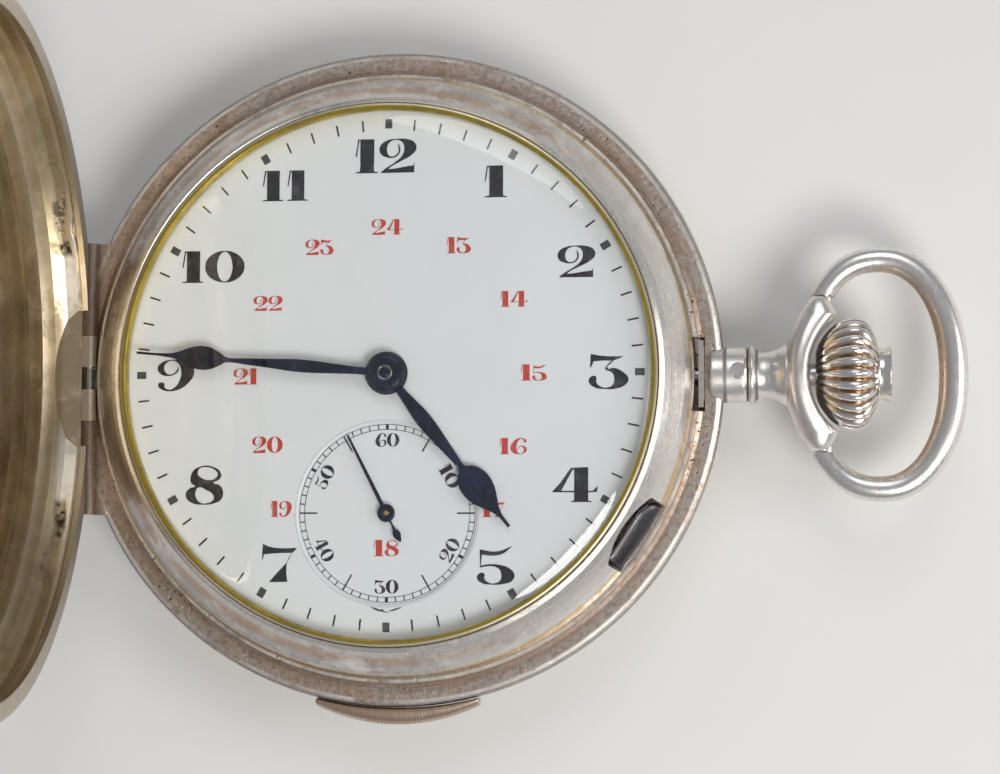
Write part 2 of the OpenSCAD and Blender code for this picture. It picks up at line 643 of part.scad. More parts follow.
// the toothed rack inside the band that the slide drags round
module repeater_rack() {
    a0 = strike_angle - slide_travel - 4;
    a1 = slide_mid + 2.4;
    color([0.55, 0.55, 0.58]) translate([0, 0, 6]) linear_extrude(height = 0.7) {
        difference() {
            intersection() {
                circle(r = 21.9, $fn = 128);
                polygon([[0, 0], polar(40, a0), polar(40, (a0 + a1) / 2), polar(40, a1)]);
            }
            teeth_outline(rack_circle_teeth, mod_rack, strike_angle, 1.15, 0.9);
        }
        intersection() {
            difference() {
                circle(r = at(26.9), $fn = 128);
                circle(r = 21.8, $fn = 128);
            }
            polygon([[0, 0], polar(40, slide_mid - 2.4), polar(40, a1)]);
        }
    }
}

// the repeater's pinion with the ratchet that counts the hours
module strike_wheel() {
    color([0.75, 0.6, 0.3]) {
        pinion(strike_at, 5.9, 6.8, strike_leaves, mod_rack, strike_angle);
        translate([strike_at[0], strike_at[1], 6.8]) linear_extrude(height = 0.4)
            polygon([for (i = [0 : 23]) polar(i % 2 == 0 ? 2.9 : 2.3, i * 15 + (i % 2 == 0 ? 0 : -12))]);
        post(strike_at, 5.6, 8.2, 0.3);
    }
}

// the enamel dial with its feet and the holes for the arbors and the seconds dial
module dial() {
    color([0.96, 0.96, 0.94]) {
        difference() {
            rotate_extrude($fn = 128) polygon([[0, dial_under_z], [dial_r - 0.2, dial_under_z],
                [dial_r, dial_under_z + 0.15], [dial_r, dial_top_z - 0.3],
                [dial_r - 0.12, dial_top_z - 0.1],
                [dial_r - 0.4, dial_top_z], [0, dial_top_z]]);
            translate([0, 0, 9]) cylinder(h = 3, r = 1.55, $fn = 64);
            translate([0, -seconds_drop, 9]) cylinder(h = 3, r = seconds_dial_r + 0.02, $fn = 96);
        }
        for (a = [50, 165, 290]) post(polar(dial_feet_r, a), plate_top_z - 0.4, dial_under_z, 0.4);
    }
}

// the sunk seconds dial
module seconds_dial() {
    color([0.94, 0.94, 0.93]) difference() {
        translate([0, -seconds_drop, 0]) rotate_extrude($fn = 96) polygon([
            [0, dial_under_z], [seconds_dial_r, dial_under_z], [seconds_dial_r, dial_top_z - 0.05],
            [seconds_dial_r - 0.12, dial_top_z - 0.05], [seconds_dial_r - 0.22, dial_top_z - 0.2],
            [0, dial_top_z - 0.2]]);
        translate([0, -seconds_drop, 9]) cylinder(h = 3, r = 0.36, $fn = 40);
    }
}

// the pear-shaped hour hand
module hour_hand() {
    color([0.08, 0.08, 0.12]) rotate([0, 0, hour_angle]) translate([0, 0, 10.96]) difference() {
        union() {
            cylinder(h = 0.2, r = 1.75, $fn = 64);
            linear_extrude(height = 0.2)
                hand_outline([[1.2, 0.3], [2.2, 0.28], [3.6, 0.42], [4.8, 0.55], [6, 0.5], [8, 0.3],
                    [9.4, 0.22], [9.9, 0.34], [10.5, 0.72], [11.2, 1.08], [11.9, 1.2], [12.5, 1.08],
                    [13.2, 0.7], [13.9, 0.34], [14.6, 0.16], [15.8, 0.07]], hour_hand_len);
        }
        cylinder(h = 1, r = 1.36, center = true, $fn = 64);
    }
}

// the pear-shaped minute hand
module minute_hand() {
    color([0.08, 0.08, 0.12]) rotate([0, 0, minute_angle]) translate([0, 0, 11.42]) {
        linear_extrude(height = 0.18) difference() {
            union() {
                circle(r = 1.65, $fn = 64);
                hand_outline([[1.2, 0.28], [2.4, 0.26], [4.5, 0.36], [6.5, 0.46], [8.5, 0.38],
                    [11.5, 0.22], [13.2, 0.16], [13.7, 0.3], [14.4, 0.68], [15.2, 0.9], [16, 0.8],
                    [16.8, 0.45], [17.5, 0.2], [18.4, 0.1], [20.6, 0.05]], minute_hand_len);
            }
            circle(r = 0.96, $fn = 64);
        }
        difference() {
            cylinder(h = 0.34, r = 1.3, $fn = 64);
            cylinder(h = 1, r = 0.96, center = true, $fn = 64);
        }
    }
}

// the seconds hand with its leaf-ended tail
module seconds_hand() {
    color([0.08, 0.08, 0.12]) translate([0, -seconds_drop, 10.72]) rotate([0, 0, seconds_angle])
        difference() {
            union() {
                cylinder(h = 0.16, r = 0.68, $fn = 48);
                linear_extrude(height = 0.12)
                    hand_outline([[0.3, 0.16], [1.5, 0.13], [4, 0.1], [7, 0.06]], seconds_hand_len);
                linear_extrude(height = 0.12) rotate(180) hand_outline([[0.3, 0.14], [1.2, 0.07],
                    [1.6, 0.18], [1.95, 0.27], [2.3, 0.16], [2.55, 0.04]], 2.55);
            }
            cylinder(h = 1, r = 0.21, center = true, $fn = 40);
        }
}

// the cannon pinion with the stepped quarter snail below its leaves
module cannon_pinion() {
    color([0.5, 0.5, 0.53]) difference() {
        union() {
            translate([0, 0, plate_top_z + 0.05]) linear_extrude(height = 0.22)
                for (q = [0 : 3]) polygon(concat([[0, 0]],
                    [for (i = [0 : 8]) polar(2.5 - 0.32 * q, q * 90 + i * 11.25)]));
            pinion(center_at, 9.17, 9.5, cannon_teeth, mod_minute, bearing(center_at, minute_wheel_at));
            translate([0, 0, 9.4]) cylinder(h = 2.42, r = 0.95, $fn = 48);
        }
        translate([0, 0, 8]) cylinder(h = 5, r = 0.39, $fn = 40);
    }
}

// the hour wheel with its pipe
module hour_wheel() {
    color([0.78, 0.63, 0.32]) difference() {
        union() {
            translate([0, 0, 9.56]) linear_extrude(height = 0.16)
                teeth_outline(hour_teeth, mod_hour, bearing(minute_wheel_at, center_at)
                    + 180 + 180 / hour_teeth);
            translate([0, 0, 9.56]) cylinder(h = 1.6, r = 1.35, $fn = 64);
        }
        cylinder(h = 20, r = 0.95 + run_fit, $fn = 64);
    }
}

// the minute wheel and its pinion
module minute_wheel() {
    a = bearing(minute_wheel_at, center_at);
    color([0.78, 0.63, 0.32]) difference() {
        union() {
            translate([minute_wheel_at[0], minute_wheel_at[1], 9.25]) linear_extrude(height = 0.16)
                teeth_outline(minute_teeth, mod_minute, a + 180 / minute_teeth);
            pinion(minute_wheel_at, 9.41, 9.75, minute_leaves, mod_hour, a);
        }
        post(minute_wheel_at, 9, 10, 0.35 + run_fit);
    }
}

// the star wheel with the twelve-step hour snail on it
module hour_snail() {
    color([0.55, 0.55, 0.58]) difference() {
        translate([snail_at[0], snail_at[1], 9]) {
            linear_extrude(height = 0.22)
                polygon([for (i = [0 : 23]) polar(i % 2 == 0 ? 3.2 : 2.3, i * 15)]);
            translate([0, 0, 0.22]) linear_extrude(height = 0.3)
                for (h = [0 : 11]) polygon(concat([[0, 0]],
                    [for (i = [0 : 3]) polar(3.8 - 0.19 * h, h * 30 + i * 10)]));
        }
        post(snail_at, 8.5, 10, 0.4 + run_fit);
    }
}

// the main plate: seat, dial ring, posts, bores and the room for the winding work
module main_plate() {
    color([0.8, 0.68, 0.38]) {
        difference() {
            union() {
                rotate_extrude($fn = 128) polygon([
                    [0, plate_under_z], [plate_r, plate_under_z], [plate_r, 8.81], [at(23.3), 8.81],
                    [at(23.3), 9], [at(22.6), 9], [at(22.6), dial_under_z - 0.03],
                    [at(21.7), dial_under_z - 0.03], [at(21.7), plate_top_z], [0, plate_top_z]]);
            }
            for (p = [[third_at, 0.25], [escape_at, 0.2], [pallet_at, 0.2], [balance_at, 0.25],
                      [fourth_at, 0.25], [strike_at, 0.3], [center_at, 0.5]])
                post(p[0], 7, 10, p[1] + run_fit);
            for (a = [50, 165, 290]) post(polar(dial_feet_r, a), 8, 10, 0.45);
            translate([15.8, -1.4, 7]) cube([2, 2.8, 0.9]);
            // room for the setting lever
            rotate([0, 0, lever_angle]) translate([at(22.66), -lever_half - 0.2, 8.7])
                cube([1.5, 2 * lever_half + 0.4, 0.6]);
        }
        post(minute_wheel_at, plate_top_z, 9.8, 0.35);
        post(snail_at, plate_top_z, 9.7, 0.4);
        post(hour_hammer_at, 4.6, plate_under_z, 0.5);
        post(quarter_hammer_at, 3.7, plate_under_z, 0.5);
        post(crown_wheel_at, 3.1, plate_under_z, 0.75);
    }
}

// holes in a bridge for arbors
module bridge_bores(list) {
    for (p = list) post(p[0], bridge_z - 1, bridge_z + 2, p[1] + run_fit);
}

// the bridge over the barrel, the centre wheel and the winding wheels
module barrel_bridge() {
    color([0.8, 0.68, 0.38]) {
        difference() {
            translate([0, 0, bridge_z]) linear_extrude(height = bridge_t) difference() {
                intersection() {
                    circle(r = 20.2, $fn = 128);
                    polygon([[-10, 3.4], [-10, 22], [22, 22], [22, -2], [3.6, -2], [2.4, -1.6],
                        [-4, -1.9]]);
                }
                translate(crown_wheel_at) circle(r = 3.95, $fn = 64);
                translate(balance_at) circle(r = balance_r + 0.4, $fn = 96);
                translate(cock_foot_at) circle(r = 1.75, $fn = 48);
            }
            bridge_bores([[center_at, 0.5], [barrel_at, 1.1]]);
        }
        for (p = barrel_pillars) post(p, bridge_z + bridge_t, plate_under_z, 1.2);
    }
}

// the bridge over the third and fourth wheels
module train_bridge() {
    color([0.8, 0.68, 0.38]) {
        difference() {
            translate([0, 0, bridge_z]) linear_extrude(height = bridge_t) {
                polygon([[-13.6, -10.4], [-12.9, -8], [-9.5, -2.4], [-3, -2.4], [2.4, -5.4],
                    [3.4, -9.5], [2.8, -14.2], [1, -18.6], [-1.6, -18.6], [-2.8, -15], [-8, -12.8]]);
                for (p = train_pillars) translate(p) circle(r = 1.5, $fn = 48);
            }
            bridge_bores([[third_at, 0.25], [fourth_at, 0.25]]);
        }
        for (p = train_pillars) post(p, bridge_z + bridge_t, plate_under_z, 1.05);
    }
}

// the low bridge under the balance that holds the escape wheel and the fork
module fork_bridge() {
    color([0.8, 0.68, 0.38]) {
        difference() {
            translate([0, 0, 5.1]) linear_extrude(height = 0.45) {
                arm_outline(fork_pillars[0], 1.2, escape_at, 1);
                arm_outline(escape_at, 1, pallet_at, 1);
                arm_outline(pallet_at, 1, fork_pillars[1], 1.2);
            }
            post(escape_at, 5, 6, 0.2 + run_fit);
            post(pallet_at, 5, 6, 0.2 + run_fit);
        }
        for (p = fork_pillars) post(p, 5.55, plate_under_z, 1);
    }
}

// the cock that carries the balance
module balance_cock() {
    color([0.8, 0.68, 0.38]) {
        difference() {
            translate([0, 0, 2.65]) linear_extrude(height = 0.7)
                arm_outline(cock_foot_at, 1.5, balance_at, 1.9);
            post(balance_at, 2, 4, 0.25 + run_fit);
        }
        post(cock_foot_at, 3.35, plate_under_z, 1.3);
        // the stud that holds the hairspring's outer end
        post(balance_at + polar(3.05, 70), 3.1, 3.75, 0.2);
    }
}

// the mainspring barrel with its toothed edge
module barrel() {
    color([0.78, 0.63, 0.32]) difference() {
        union() {
            post(barrel_at, barrel_z, barrel_z + 1.9, 8);
            translate([barrel_at[0], barrel_at[1], 6.9]) linear_extrude(height = 0.4)
                teeth_outline(barrel_teeth, mod_barrel,
                    bearing(barrel_at, center_at) + 180 / barrel_teeth);
        }
        post(barrel_at, 5, 8, 1.1 + run_fit);
        translate([barrel_at[0], barrel_at[1], barrel_z - 0.01]) difference() {
            cylinder(h = 0.2, r = 7.3, $fn = 96);
            cylinder(h = 1, r = 2.2, center = true, $fn = 64);
        }
    }
}

// the ratchet wheel on the barrel's arbor
module ratchet_wheel() {
    color([0.72, 0.72, 0.74]) {
        translate([barrel_at[0], barrel_at[1], winding_wheel_z]) linear_extrude(height = 0.45)
            teeth_outline(ratchet_teeth, mod_wind,
                bearing(barrel_at, crown_wheel_at) + 180 / ratchet_teeth, tip = 0.9);
        post(barrel_at, winding_wheel_z, barrel_z + 1.8, 1.1);
        post(barrel_at, winding_wheel_z - 0.25, winding_wheel_z, 1.6);
    }
}

// the crown wheel: spur teeth for the ratchet wheel, face teeth for the winding pinion
module crown_wheel() {
    color([0.72, 0.72, 0.74]) difference() {
        translate([crown_wheel_at[0], crown_wheel_at[1], 0]) {
            translate([0, 0, winding_wheel_z]) linear_extrude(height = 0.45)
                teeth_outline(crown_wheel_teeth, mod_wind, bearing(crown_wheel_at, barrel_at), tip = 0.9);
            translate([0, 0, 3.4]) cylinder(h = 1.35, r = 3.1, $fn = 64);
            translate([0, 0, 4.6]) linear_extrude(height = 0.4)
                teeth_outline(face_teeth, mod_face, 0, tip = 0.9, root = 1.1);
        }
        post(crown_wheel_at, 2, 6, 0.75 + run_fit);
    }
}

// the click that holds the ratchet wheel
click_at = barrel_at + polar(9.4, 150);
click_tip = barrel_at + polar(mod_wind * ratchet_teeth / 2 + 0.58, 136);
module click() {
    color([0.6, 0.6, 0.63]) {
        translate([0, 0, winding_wheel_z]) linear_extrude(height = 0.45)
            arm_outline(click_at, 0.85, click_tip, 0.32);
        post(click_at, 2.8, winding_wheel_z, 0.55);
    }
}

// the centre wheel, its pinion and the arbor that goes up through the dial
module center_wheel() {
    color([0.78, 0.63, 0.32]) {
        train_wheel(center_at, center_wheel_z, center_teeth, mod_center, bearing(center_at, third_at),
            1.5, 5);
        pinion(center_at, 6.75, 7.5, center_leaves, mod_barrel, bearing(center_at, barrel_at));
        post(center_at, 3.7, plate_top_z, 0.5);
        post(center_at, plate_top_z, 11.95, 0.37);
    }
}

// the third wheel
module third_wheel() {
    color([0.78, 0.63, 0.32]) {
        train_wheel(third_at, third_wheel_z, third_teeth, mod_third, bearing(third_at, fourth_at), 1.1, 5);
        pinion(third_at, 4.8, 5.3, third_leaves, mod_center,
            bearing(third_at, center_at) + 180 / third_leaves);
        post(third_at, 3.7, 8.2, 0.25);
    }
}

// the fourth wheel, whose arbor carries the seconds hand
module fourth_wheel() {
    color([0.78, 0.63, 0.32]) {
        train_wheel(fourth_at, fourth_wheel_z, fourth_teeth, mod_fourth, bearing(fourth_at, escape_at),
            0.9, 5);
        pinion(fourth_at, 6.5, 6.95, fourth_leaves, mod_third,
            bearing(fourth_at, third_at) + 180 / fourth_leaves);
        post(fourth_at, 3.7, plate_top_z, 0.25);
        post(fourth_at, plate_top_z, 10.95, 0.2);
    }
}

// the escape wheel: club-shaped teeth on a light rim
module escape_wheel() {
    color([0.7, 0.7, 0.72]) {
        translate([escape_at[0], escape_at[1], escape_wheel_z]) linear_extrude(height = wheel_t) {
            difference() {
                polygon([for (i = [0 : escape_teeth - 1], k = [0 : 4])
                    polar([1.95, 2.75, escape_r, 2.72, 1.95][k],
                        fork_line + 12 + i * 24 + [-7, 4, 6, 8.6, 5][k])]);
                circle(r = 1.6, $fn = 48);
            }
            circle(r = 0.6, $fn = 40);
            for (i = [0 : 3]) rotate(i * 90) translate([0.4, -0.13]) square([1.35, 0.26]);
        }
        pinion(escape_at, 5.7, 6.3, escape_leaves, mod_fourth,
            bearing(escape_at, fourth_at) + 180 / escape_leaves);
        post(escape_at, 5.15, 8, 0.2);
    }
}

// the pallet fork between the escape wheel and the balance
module pallet_fork() {
    color([0.7, 0.7, 0.72]) {
        translate([pallet_at[0], pallet_at[1], 6.05]) rotate([0, 0, fork_line]) {
            linear_extrude(height = 0.25) {
                circle(r = 0.5, $fn = 40);
                translate([0, -0.16]) square([2.65, 0.32]);
                for (s = [0, 1]) mirror([0, s]) {
                    polygon([[0, 0.5], [-0.25, 0.45], [-1.5, 2.15], [-1.05, 2.5], [0.35, 0.4]]);
                    polygon([[2.4, 0], [3.35, 0.42], [3.4, 0.68], [3, 0.68], [2.4, 0.16]]);
                }
            }
            // the two pallet stones
            for (s = [0, 1]) mirror([0, s, 0]) translate([-1.45, 2.12, 0]) rotate([0, 0, 35])
                cube([0.5, 0.28, 0.9]);
        }
        post(pallet_at, 5.15, 8, 0.2);
    }
}

// the balance: cut rim with timing screws, arms, staff and roller
module balance_wheel() {
    color([0.78, 0.63, 0.32]) {
        translate([balance_at[0], balance_at[1], 0]) rotate([0, 0, fork_line + 90]) {
            difference() {
                translate([0, 0, 3.95]) cylinder(h = 0.7, r = balance_r - 0.35, $fn = 96);
                translate([0, 0, 3.9]) cylinder(h = 1, r = balance_r - 0.95, $fn = 96);
            }
            translate([-balance_r + 0.6, -0.35, 4.05]) cube([2 * balance_r - 1.2, 0.7, 0.25]);
            for (i = [0 : 13]) rotate([0, 0, (i + 0.5) * 360 / 14]) translate([balance_r - 0.5, 0, 4.3])
                rotate([0, 90, 0]) cylinder(h = 0.5, r = 0.25, $fn = 24);
            translate([0, 0, 5.7]) cylinder(h = 0.25, r = 1, $fn = 48);
        }
        post(balance_at, 2.75, 8.1, 0.25);
        post(balance_at, 3.8, 4.6, 0.7);
        post(balance_at + polar(-0.72, fork_line), 5.9, 6.32, 0.14);
    }
}

// the hairspring, a flat spiral pinned to the cock's stud
module hairspring() {
    turns = 6;
    steps = turns * 20;
    function coil(i, side) = polar(0.85 + 1.98 * i / steps + side * 0.05, 70 + i * 18);
    color([0.25, 0.28, 0.45]) translate([balance_at[0], balance_at[1], 3.5]) linear_extrude(height = 0.22)
        polygon(concat([for (i = [0 : steps]) coil(i, 1)], [for (i = [steps : -1 : 0]) coil(i, -1)]));
}

// the regulator over the cock
module regulator() {
    color([0.72, 0.72, 0.74]) translate([balance_at[0], balance_at[1], 2.33])
        linear_extrude(height = 0.26) difference() {
            union() {
                circle(r = 1.15, $fn = 48);
                rotate(95) polygon([[0.5, -0.4], [5.2, -0.08], [5.2, 0.08], [0.5, 0.4]]);
                rotate(275) translate([0.5, -0.25]) square([1.7, 0.5]);
            }
            circle(r = 0.45, $fn = 40);
        }
}

// a wire gong bent round the movement
module gong(z) {
    rotate([0, 0, gong_post_angle + 2.5]) rotate_extrude(angle = 325, $fn = 128)
        translate([gong_r, z]) circle(r = gong_wire_r, $fn = 24);
}
module hour_gong() {
    color([0.3, 0.32, 0.45]) gong(5.2);
}
module quarter_gong() {
    color([0.3, 0.32, 0.45]) gong(4.6);
}

// the block that both gongs are fixed in
module gong_post() {
    color([0.6, 0.6, 0.63]) ring_sector(20.3, 22.1, 4.1, plate_under_z, gong_post_angle - 3,
        gong_post_angle + 2.5);
}

// a flat hammer on its post, with a heavy head
module hammer(at, head, z) {
    difference() {
        union() {
            translate([0, 0, z]) linear_extrude(height = 0.75) arm_outline(at, 1.1, head, 1.6);
            post(at, z, z + 0.75, 1.3);
            post(head, z, z + 0.85, 1.5);
        }
        post(at, z - 1, z + 2, 0.5 + run_fit);
    }
}
module hour_hammer() {
    color([0.68, 0.68, 0.7]) hammer(hour_hammer_at, hour_head_at, 4.95);
}
module quarter_hammer() {
    color([0.68, 0.68, 0.7]) hammer(quarter_hammer_at, quarter_head_at, 4.05);
}

// the slotted screws of the bridges and the cock
module bridge_screws() {
    module screw(at, z, r) {
        difference() {
            post(at, z - 0.35, z - 0.01, r);
            translate([at[0] - 2, at[1] - 0.12, z - 0.5]) cube([4, 0.24, 0.3]);
        }
    }
    color([0.25, 0.28, 0.45]) {
        for (p = concat(barrel_pillars, train_pillars)) screw(p, bridge_z, 0.8);
        screw(cock_foot_at, 2.65, 0.85);
        screw(crown_wheel_at, 3.09, 0.74);
    }
}

band();
pendant();
pendant_plug();
bezel();
glass_rim();
crystal();
front_cover();
front_hinge_pin();
lift_spring();
lock_spring();
back_cover();
cuvette();
back_hinge_pin();
bow();
crown();
crown_stem();
crown_cap();
push_collar();
winding_shaft();
setting_lever();
repeater_slide();
repeater_rack();
strike_wheel();
dial();
seconds_dial();
hour_hand();
minute_hand();
seconds_hand();
cannon_pinion();
hour_wheel();
minute_wheel();
hour_snail();
main_plate();
barrel_bridge();
train_bridge();
fork_bridge();
balance_cock();
barrel();
ratchet_wheel();
crown_wheel();
click();
center_wheel();
third_wheel();
fourth_wheel();
escape_wheel();
pallet_fork();
balance_wheel();
hairspring();
regulator();
hour_gong();
quarter_gong();
gong_post();
hour_hammer();
quarter_hammer();
bridge_screws();
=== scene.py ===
import math
import bmesh
import bpy
from mathutils import Matrix, Vector


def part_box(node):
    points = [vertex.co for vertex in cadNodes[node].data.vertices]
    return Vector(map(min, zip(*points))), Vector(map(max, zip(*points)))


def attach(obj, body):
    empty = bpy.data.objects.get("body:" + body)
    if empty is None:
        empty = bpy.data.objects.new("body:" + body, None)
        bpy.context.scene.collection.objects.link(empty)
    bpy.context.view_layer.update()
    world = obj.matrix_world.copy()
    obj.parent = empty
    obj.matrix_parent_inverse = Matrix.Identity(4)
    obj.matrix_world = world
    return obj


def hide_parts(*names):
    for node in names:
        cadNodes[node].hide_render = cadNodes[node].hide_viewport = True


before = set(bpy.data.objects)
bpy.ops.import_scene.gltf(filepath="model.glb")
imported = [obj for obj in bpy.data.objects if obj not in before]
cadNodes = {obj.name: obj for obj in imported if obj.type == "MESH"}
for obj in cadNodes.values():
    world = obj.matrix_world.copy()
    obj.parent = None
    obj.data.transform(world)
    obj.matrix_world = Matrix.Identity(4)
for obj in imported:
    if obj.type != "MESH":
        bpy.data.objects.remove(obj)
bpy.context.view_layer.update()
mm = 0.001
print("frame loaded,", len(cadNodes), "nodes")


def clearPicks():
    if bpy.context.mode != "OBJECT":
        bpy.ops.object.mode_set(mode="OBJECT")
    bpy.ops.object.select_all(action="DESELECT")


def pickOnly(piece):
    clearPicks()
    piece.select_set(True)
    bpy.context.view_layer.objects.active = piece


def startEdit(piece):
    pickOnly(piece)
    bpy.ops.object.mode_set(mode="EDIT")


def addObject(name, data):
    piece = bpy.data.objects.new(name, data)
    bpy.context.scene.collection.objects.link(piece)
    return piece


def settle(piece, name, smoothAngle=30):
    # puts the place into the mesh and names the piece
    pickOnly(piece)
    bpy.ops.object.transform_apply(location=True, rotation=True, scale=True)
    piece.name = name
    piece.data.name = name
    bpy.ops.object.shade_smooth_by_angle(angle=math.radians(smoothAngle))
    return piece


def tidyMesh(piece, gap=2e-7):
    startEdit(piece)
    bpy.ops.mesh.select_all(action="SELECT")
    bpy.ops.mesh.remove_doubles(threshold=gap)
    bpy.ops.mesh.normals_make_consistent(inside=False)
    bpy.ops.object.mode_set(mode="OBJECT")


def addModifier(piece, kind, **settings):
    pickOnly(piece)
    modifier = piece.modifiers.new(kind.title(), kind)
    for key, value in settings.items():
        setattr(modifier, key, value)
    bpy.ops.object.modifier_apply(modifier=modifier.name)


def turnPiece(name, profile, steps=192, along="Z", centre=(0, 0, 0), sweep=360):
    # a lathe: a chain of points (radius, height) in mm is spun about its axis
    turned = {"Z": lambda r, h: Vector((r, 0, h)), "X": lambda r, h: Vector((h, r, 0))}[along]
    places = [(turned(r, h) + Vector(centre)) * mm for r, h in profile]
    clearPicks()
    bpy.ops.mesh.primitive_plane_add(size=0.001, location=places[0])
    piece = bpy.context.object
    bpy.ops.object.transform_apply(location=True)
    bpy.ops.object.mode_set(mode="EDIT")
    bpy.ops.mesh.merge(type="CENTER")
    for before, after in zip(places, places[1:]):
        bpy.ops.mesh.extrude_region_move(TRANSFORM_OT_translate={"value": after - before})
    bpy.ops.mesh.select_all(action="SELECT")
    axis = (0, 0, 1) if along == "Z" else (1, 0, 0)
    bpy.ops.mesh.spin(steps=steps, angle=math.radians(sweep), center=Vector(centre) * mm, axis=axis)
    bpy.ops.object.mode_set(mode="OBJECT")
    tidyMesh(piece)
    return settle(piece, name)


def flatCurve(name, loops, thick, height, bevel=0.0):
    # closed outlines in mm; a third number marks a sharp corner
    curve = bpy.data.curves.new(name, "CURVE")
    curve.dimensions = "2D"
    curve.fill_mode = "BOTH"
    curve.resolution_u = 6
    curve.extrude = (thick / 2 - bevel) * mm
    curve.bevel_depth = bevel * mm
    curve.bevel_resolution = 2
    for loop in loops:
        line = curve.splines.new("BEZIER")
        line.bezier_points.add(len(loop) - 1)
        line.use_cyclic_u = True
        for knot, place in zip(line.bezier_points, loop):
            knot.co = (place[0] * mm, place[1] * mm, 0)
            kind = "VECTOR" if len(place) > 2 else "AUTO"
            knot.handle_left_type = knot.handle_right_type = kind
    piece = addObject(name, curve)
    piece.location = (0, 0, height * mm)
    pickOnly(piece)
    bpy.ops.object.convert(target="MESH")
    return piece


def joinPieces(pieces, name):
    clearPicks()
    for piece in pieces:
        piece.select_set(True)
    bpy.context.view_layer.objects.active = pieces[0]
    if len(pieces) > 1:
        bpy.ops.object.join()
    joined = bpy.context.view_layer.objects.active
    joined.name = joined.data.name = name
    return joined


# node helpers; each finds its node tree from the values it is given

def put(tree, kind, feeds=None, **settings):
    item = tree.nodes.new("ShaderNode" + kind)
    for key, value in settings.items():
        setattr(item, key, value)
    for key, value in (feeds or {}).items():
        socket = item.inputs[key]
        if isinstance(value, bpy.types.NodeSocket):
            tree.links.new(value, socket)
        else:
            socket.default_value = value
    return item


def owner(*values):
    # the node tree that the first linked value belongs to
    return next(value.id_data for value in values if isinstance(value, bpy.types.NodeSocket))


def calc(operation, *values):
    return put(owner(*values), "Math", dict(enumerate(values)), operation=operation).outputs[0]


def times(*values):
    return calc("MULTIPLY", *values)


def plus(*values):
    return calc("ADD", *values)


def minus(*values):
    return calc("SUBTRACT", *values)


def over(*values):
    return calc("DIVIDE", *values)


def most(*values):
    return calc("MAXIMUM", *values)


def awayFrom(value, middle):
    return calc("ABSOLUTE", minus(value, middle))


def mixColour(share, first, second):
    return put(owner(share), "Mix", {0: share, 6: first, 7: second}, data_type="RGBA").outputs[2]


def lay(tint, colour, mask, share=1.0):
    # another colour laid over the tint where the mask is
    return mixColour(times(mask, share), tint, colour)


def ramp(value, low, high, toLow=0.0, toHigh=1.0):
    feeds = {0: value, 1: low, 2: high, 3: toLow, 4: toHigh}
    return put(owner(value), "MapRange", feeds, interpolation_type="SMOOTHSTEP").outputs[0]


def noise(spot, scale, detail=2.0, roughness=0.5):
    feeds = {"Vector": spot, "Scale": scale, "Detail": detail, "Roughness": roughness}
    return put(owner(spot), "TexNoise", feeds).outputs[0]


def lineNoise(value, detail=4.0, roughness=0.5):
    # noise that changes with one value only
    feeds = {"W": value, "Scale": 1.0, "Detail": detail, "Roughness": roughness}
    return put(owner(value), "TexNoise", feeds, noise_dimensions="1D").outputs[0]


def vectorMath(operation, *values):
    return put(owner(*values), "VectorMath", dict(enumerate(values)), operation=operation).outputs[0]


def turnVector(vector, turn, kind="POINT"):
    return put(owner(vector), "Mapping", {"Vector": vector, "Rotation": turn}, vector_type=kind).outputs[0]


def axes(spot):
    return put(owner(spot), "SeparateXYZ", {0: spot}).outputs


def startGroup(name, takes, gives):
    tree = bpy.data.node_groups.new(name, "ShaderNodeTree")
    for label, value in takes.items():
        kind = "NodeSocketVector" if value is None else "NodeSocketFloat"
        socket = tree.interface.new_socket(name=label, in_out="INPUT", socket_type=kind)
        if value is not None:
            socket.default_value = value
    for label in gives:
        tree.interface.new_socket(name=label, in_out="OUTPUT", socket_type="NodeSocketFloat")
    return tree, tree.nodes.new("NodeGroupInput").outputs, tree.nodes.new("NodeGroupOutput").inputs


def useGroup(group, **feeds):
    return put(owner(*feeds.values()), "Group", feeds, node_tree=group).outputs


# camera at the photograph's angle
camera = {
    "place": (32.38, -14.59, 193.24), "turn": (0.073205, 0.126268, 0.002366), "lens": 82.8,
}
cameraData = bpy.data.cameras.new("watchCamera")
cameraData.lens = camera["lens"]
cameraData.sensor_width = 36
cameraData.clip_start, cameraData.clip_end = 0.01, 20
cameraObject = addObject("watchCamera", cameraData)
cameraObject.location = Vector(camera["place"]) * mm
cameraObject.rotation_euler = camera["turn"]
bpy.context.scene.camera = cameraObject

# soft studio light on a pale table
# each lamp: name, place, size, watts, colour
studio = {
    "floorColour": (0.8, 0.79, 0.77, 1), "floorCloud": (0.77, 0.76, 0.74, 1),
    "floorSize": 6, "floorLevel": -0.02, "worldColour": (0.95, 0.96, 1.0, 1), "worldLight": 0.31,
    "lamps": [
        ("keyLamp", (0.2, -0.23, 0.38), 0.22, 1.2, (1.0, 0.985, 0.96)),
        ("windowLamp", (0.06, 0.34, 0.4), 0.3, 0.42, (0.97, 0.98, 1.0)),
        ("sideLamp", (0.42, -0.02, 0.22), 0.26, 0.62, (1.0, 0.98, 0.95)),
    ],
}
clearPicks()
bpy.ops.mesh.primitive_plane_add(size=studio["floorSize"], location=(0, 0, 0))
floor = bpy.context.object
bpy.ops.object.mode_set(mode="EDIT")
bpy.ops.mesh.select_all(action="SELECT")
bpy.ops.mesh.subdivide(number_cuts=3)
bpy.ops.object.mode_set(mode="OBJECT")
floor.name = "paleTable"
floor.location = (0, 0, studio["floorLevel"] * mm)
world = bpy.data.worlds.new("softRoom")
bpy.context.scene.world = world
world.use_nodes = True
roomLight = world.node_tree.nodes["Background"]
roomLight.inputs["Color"].default_value = studio["worldColour"]
roomLight.inputs["Strength"].default_value = studio["worldLight"]
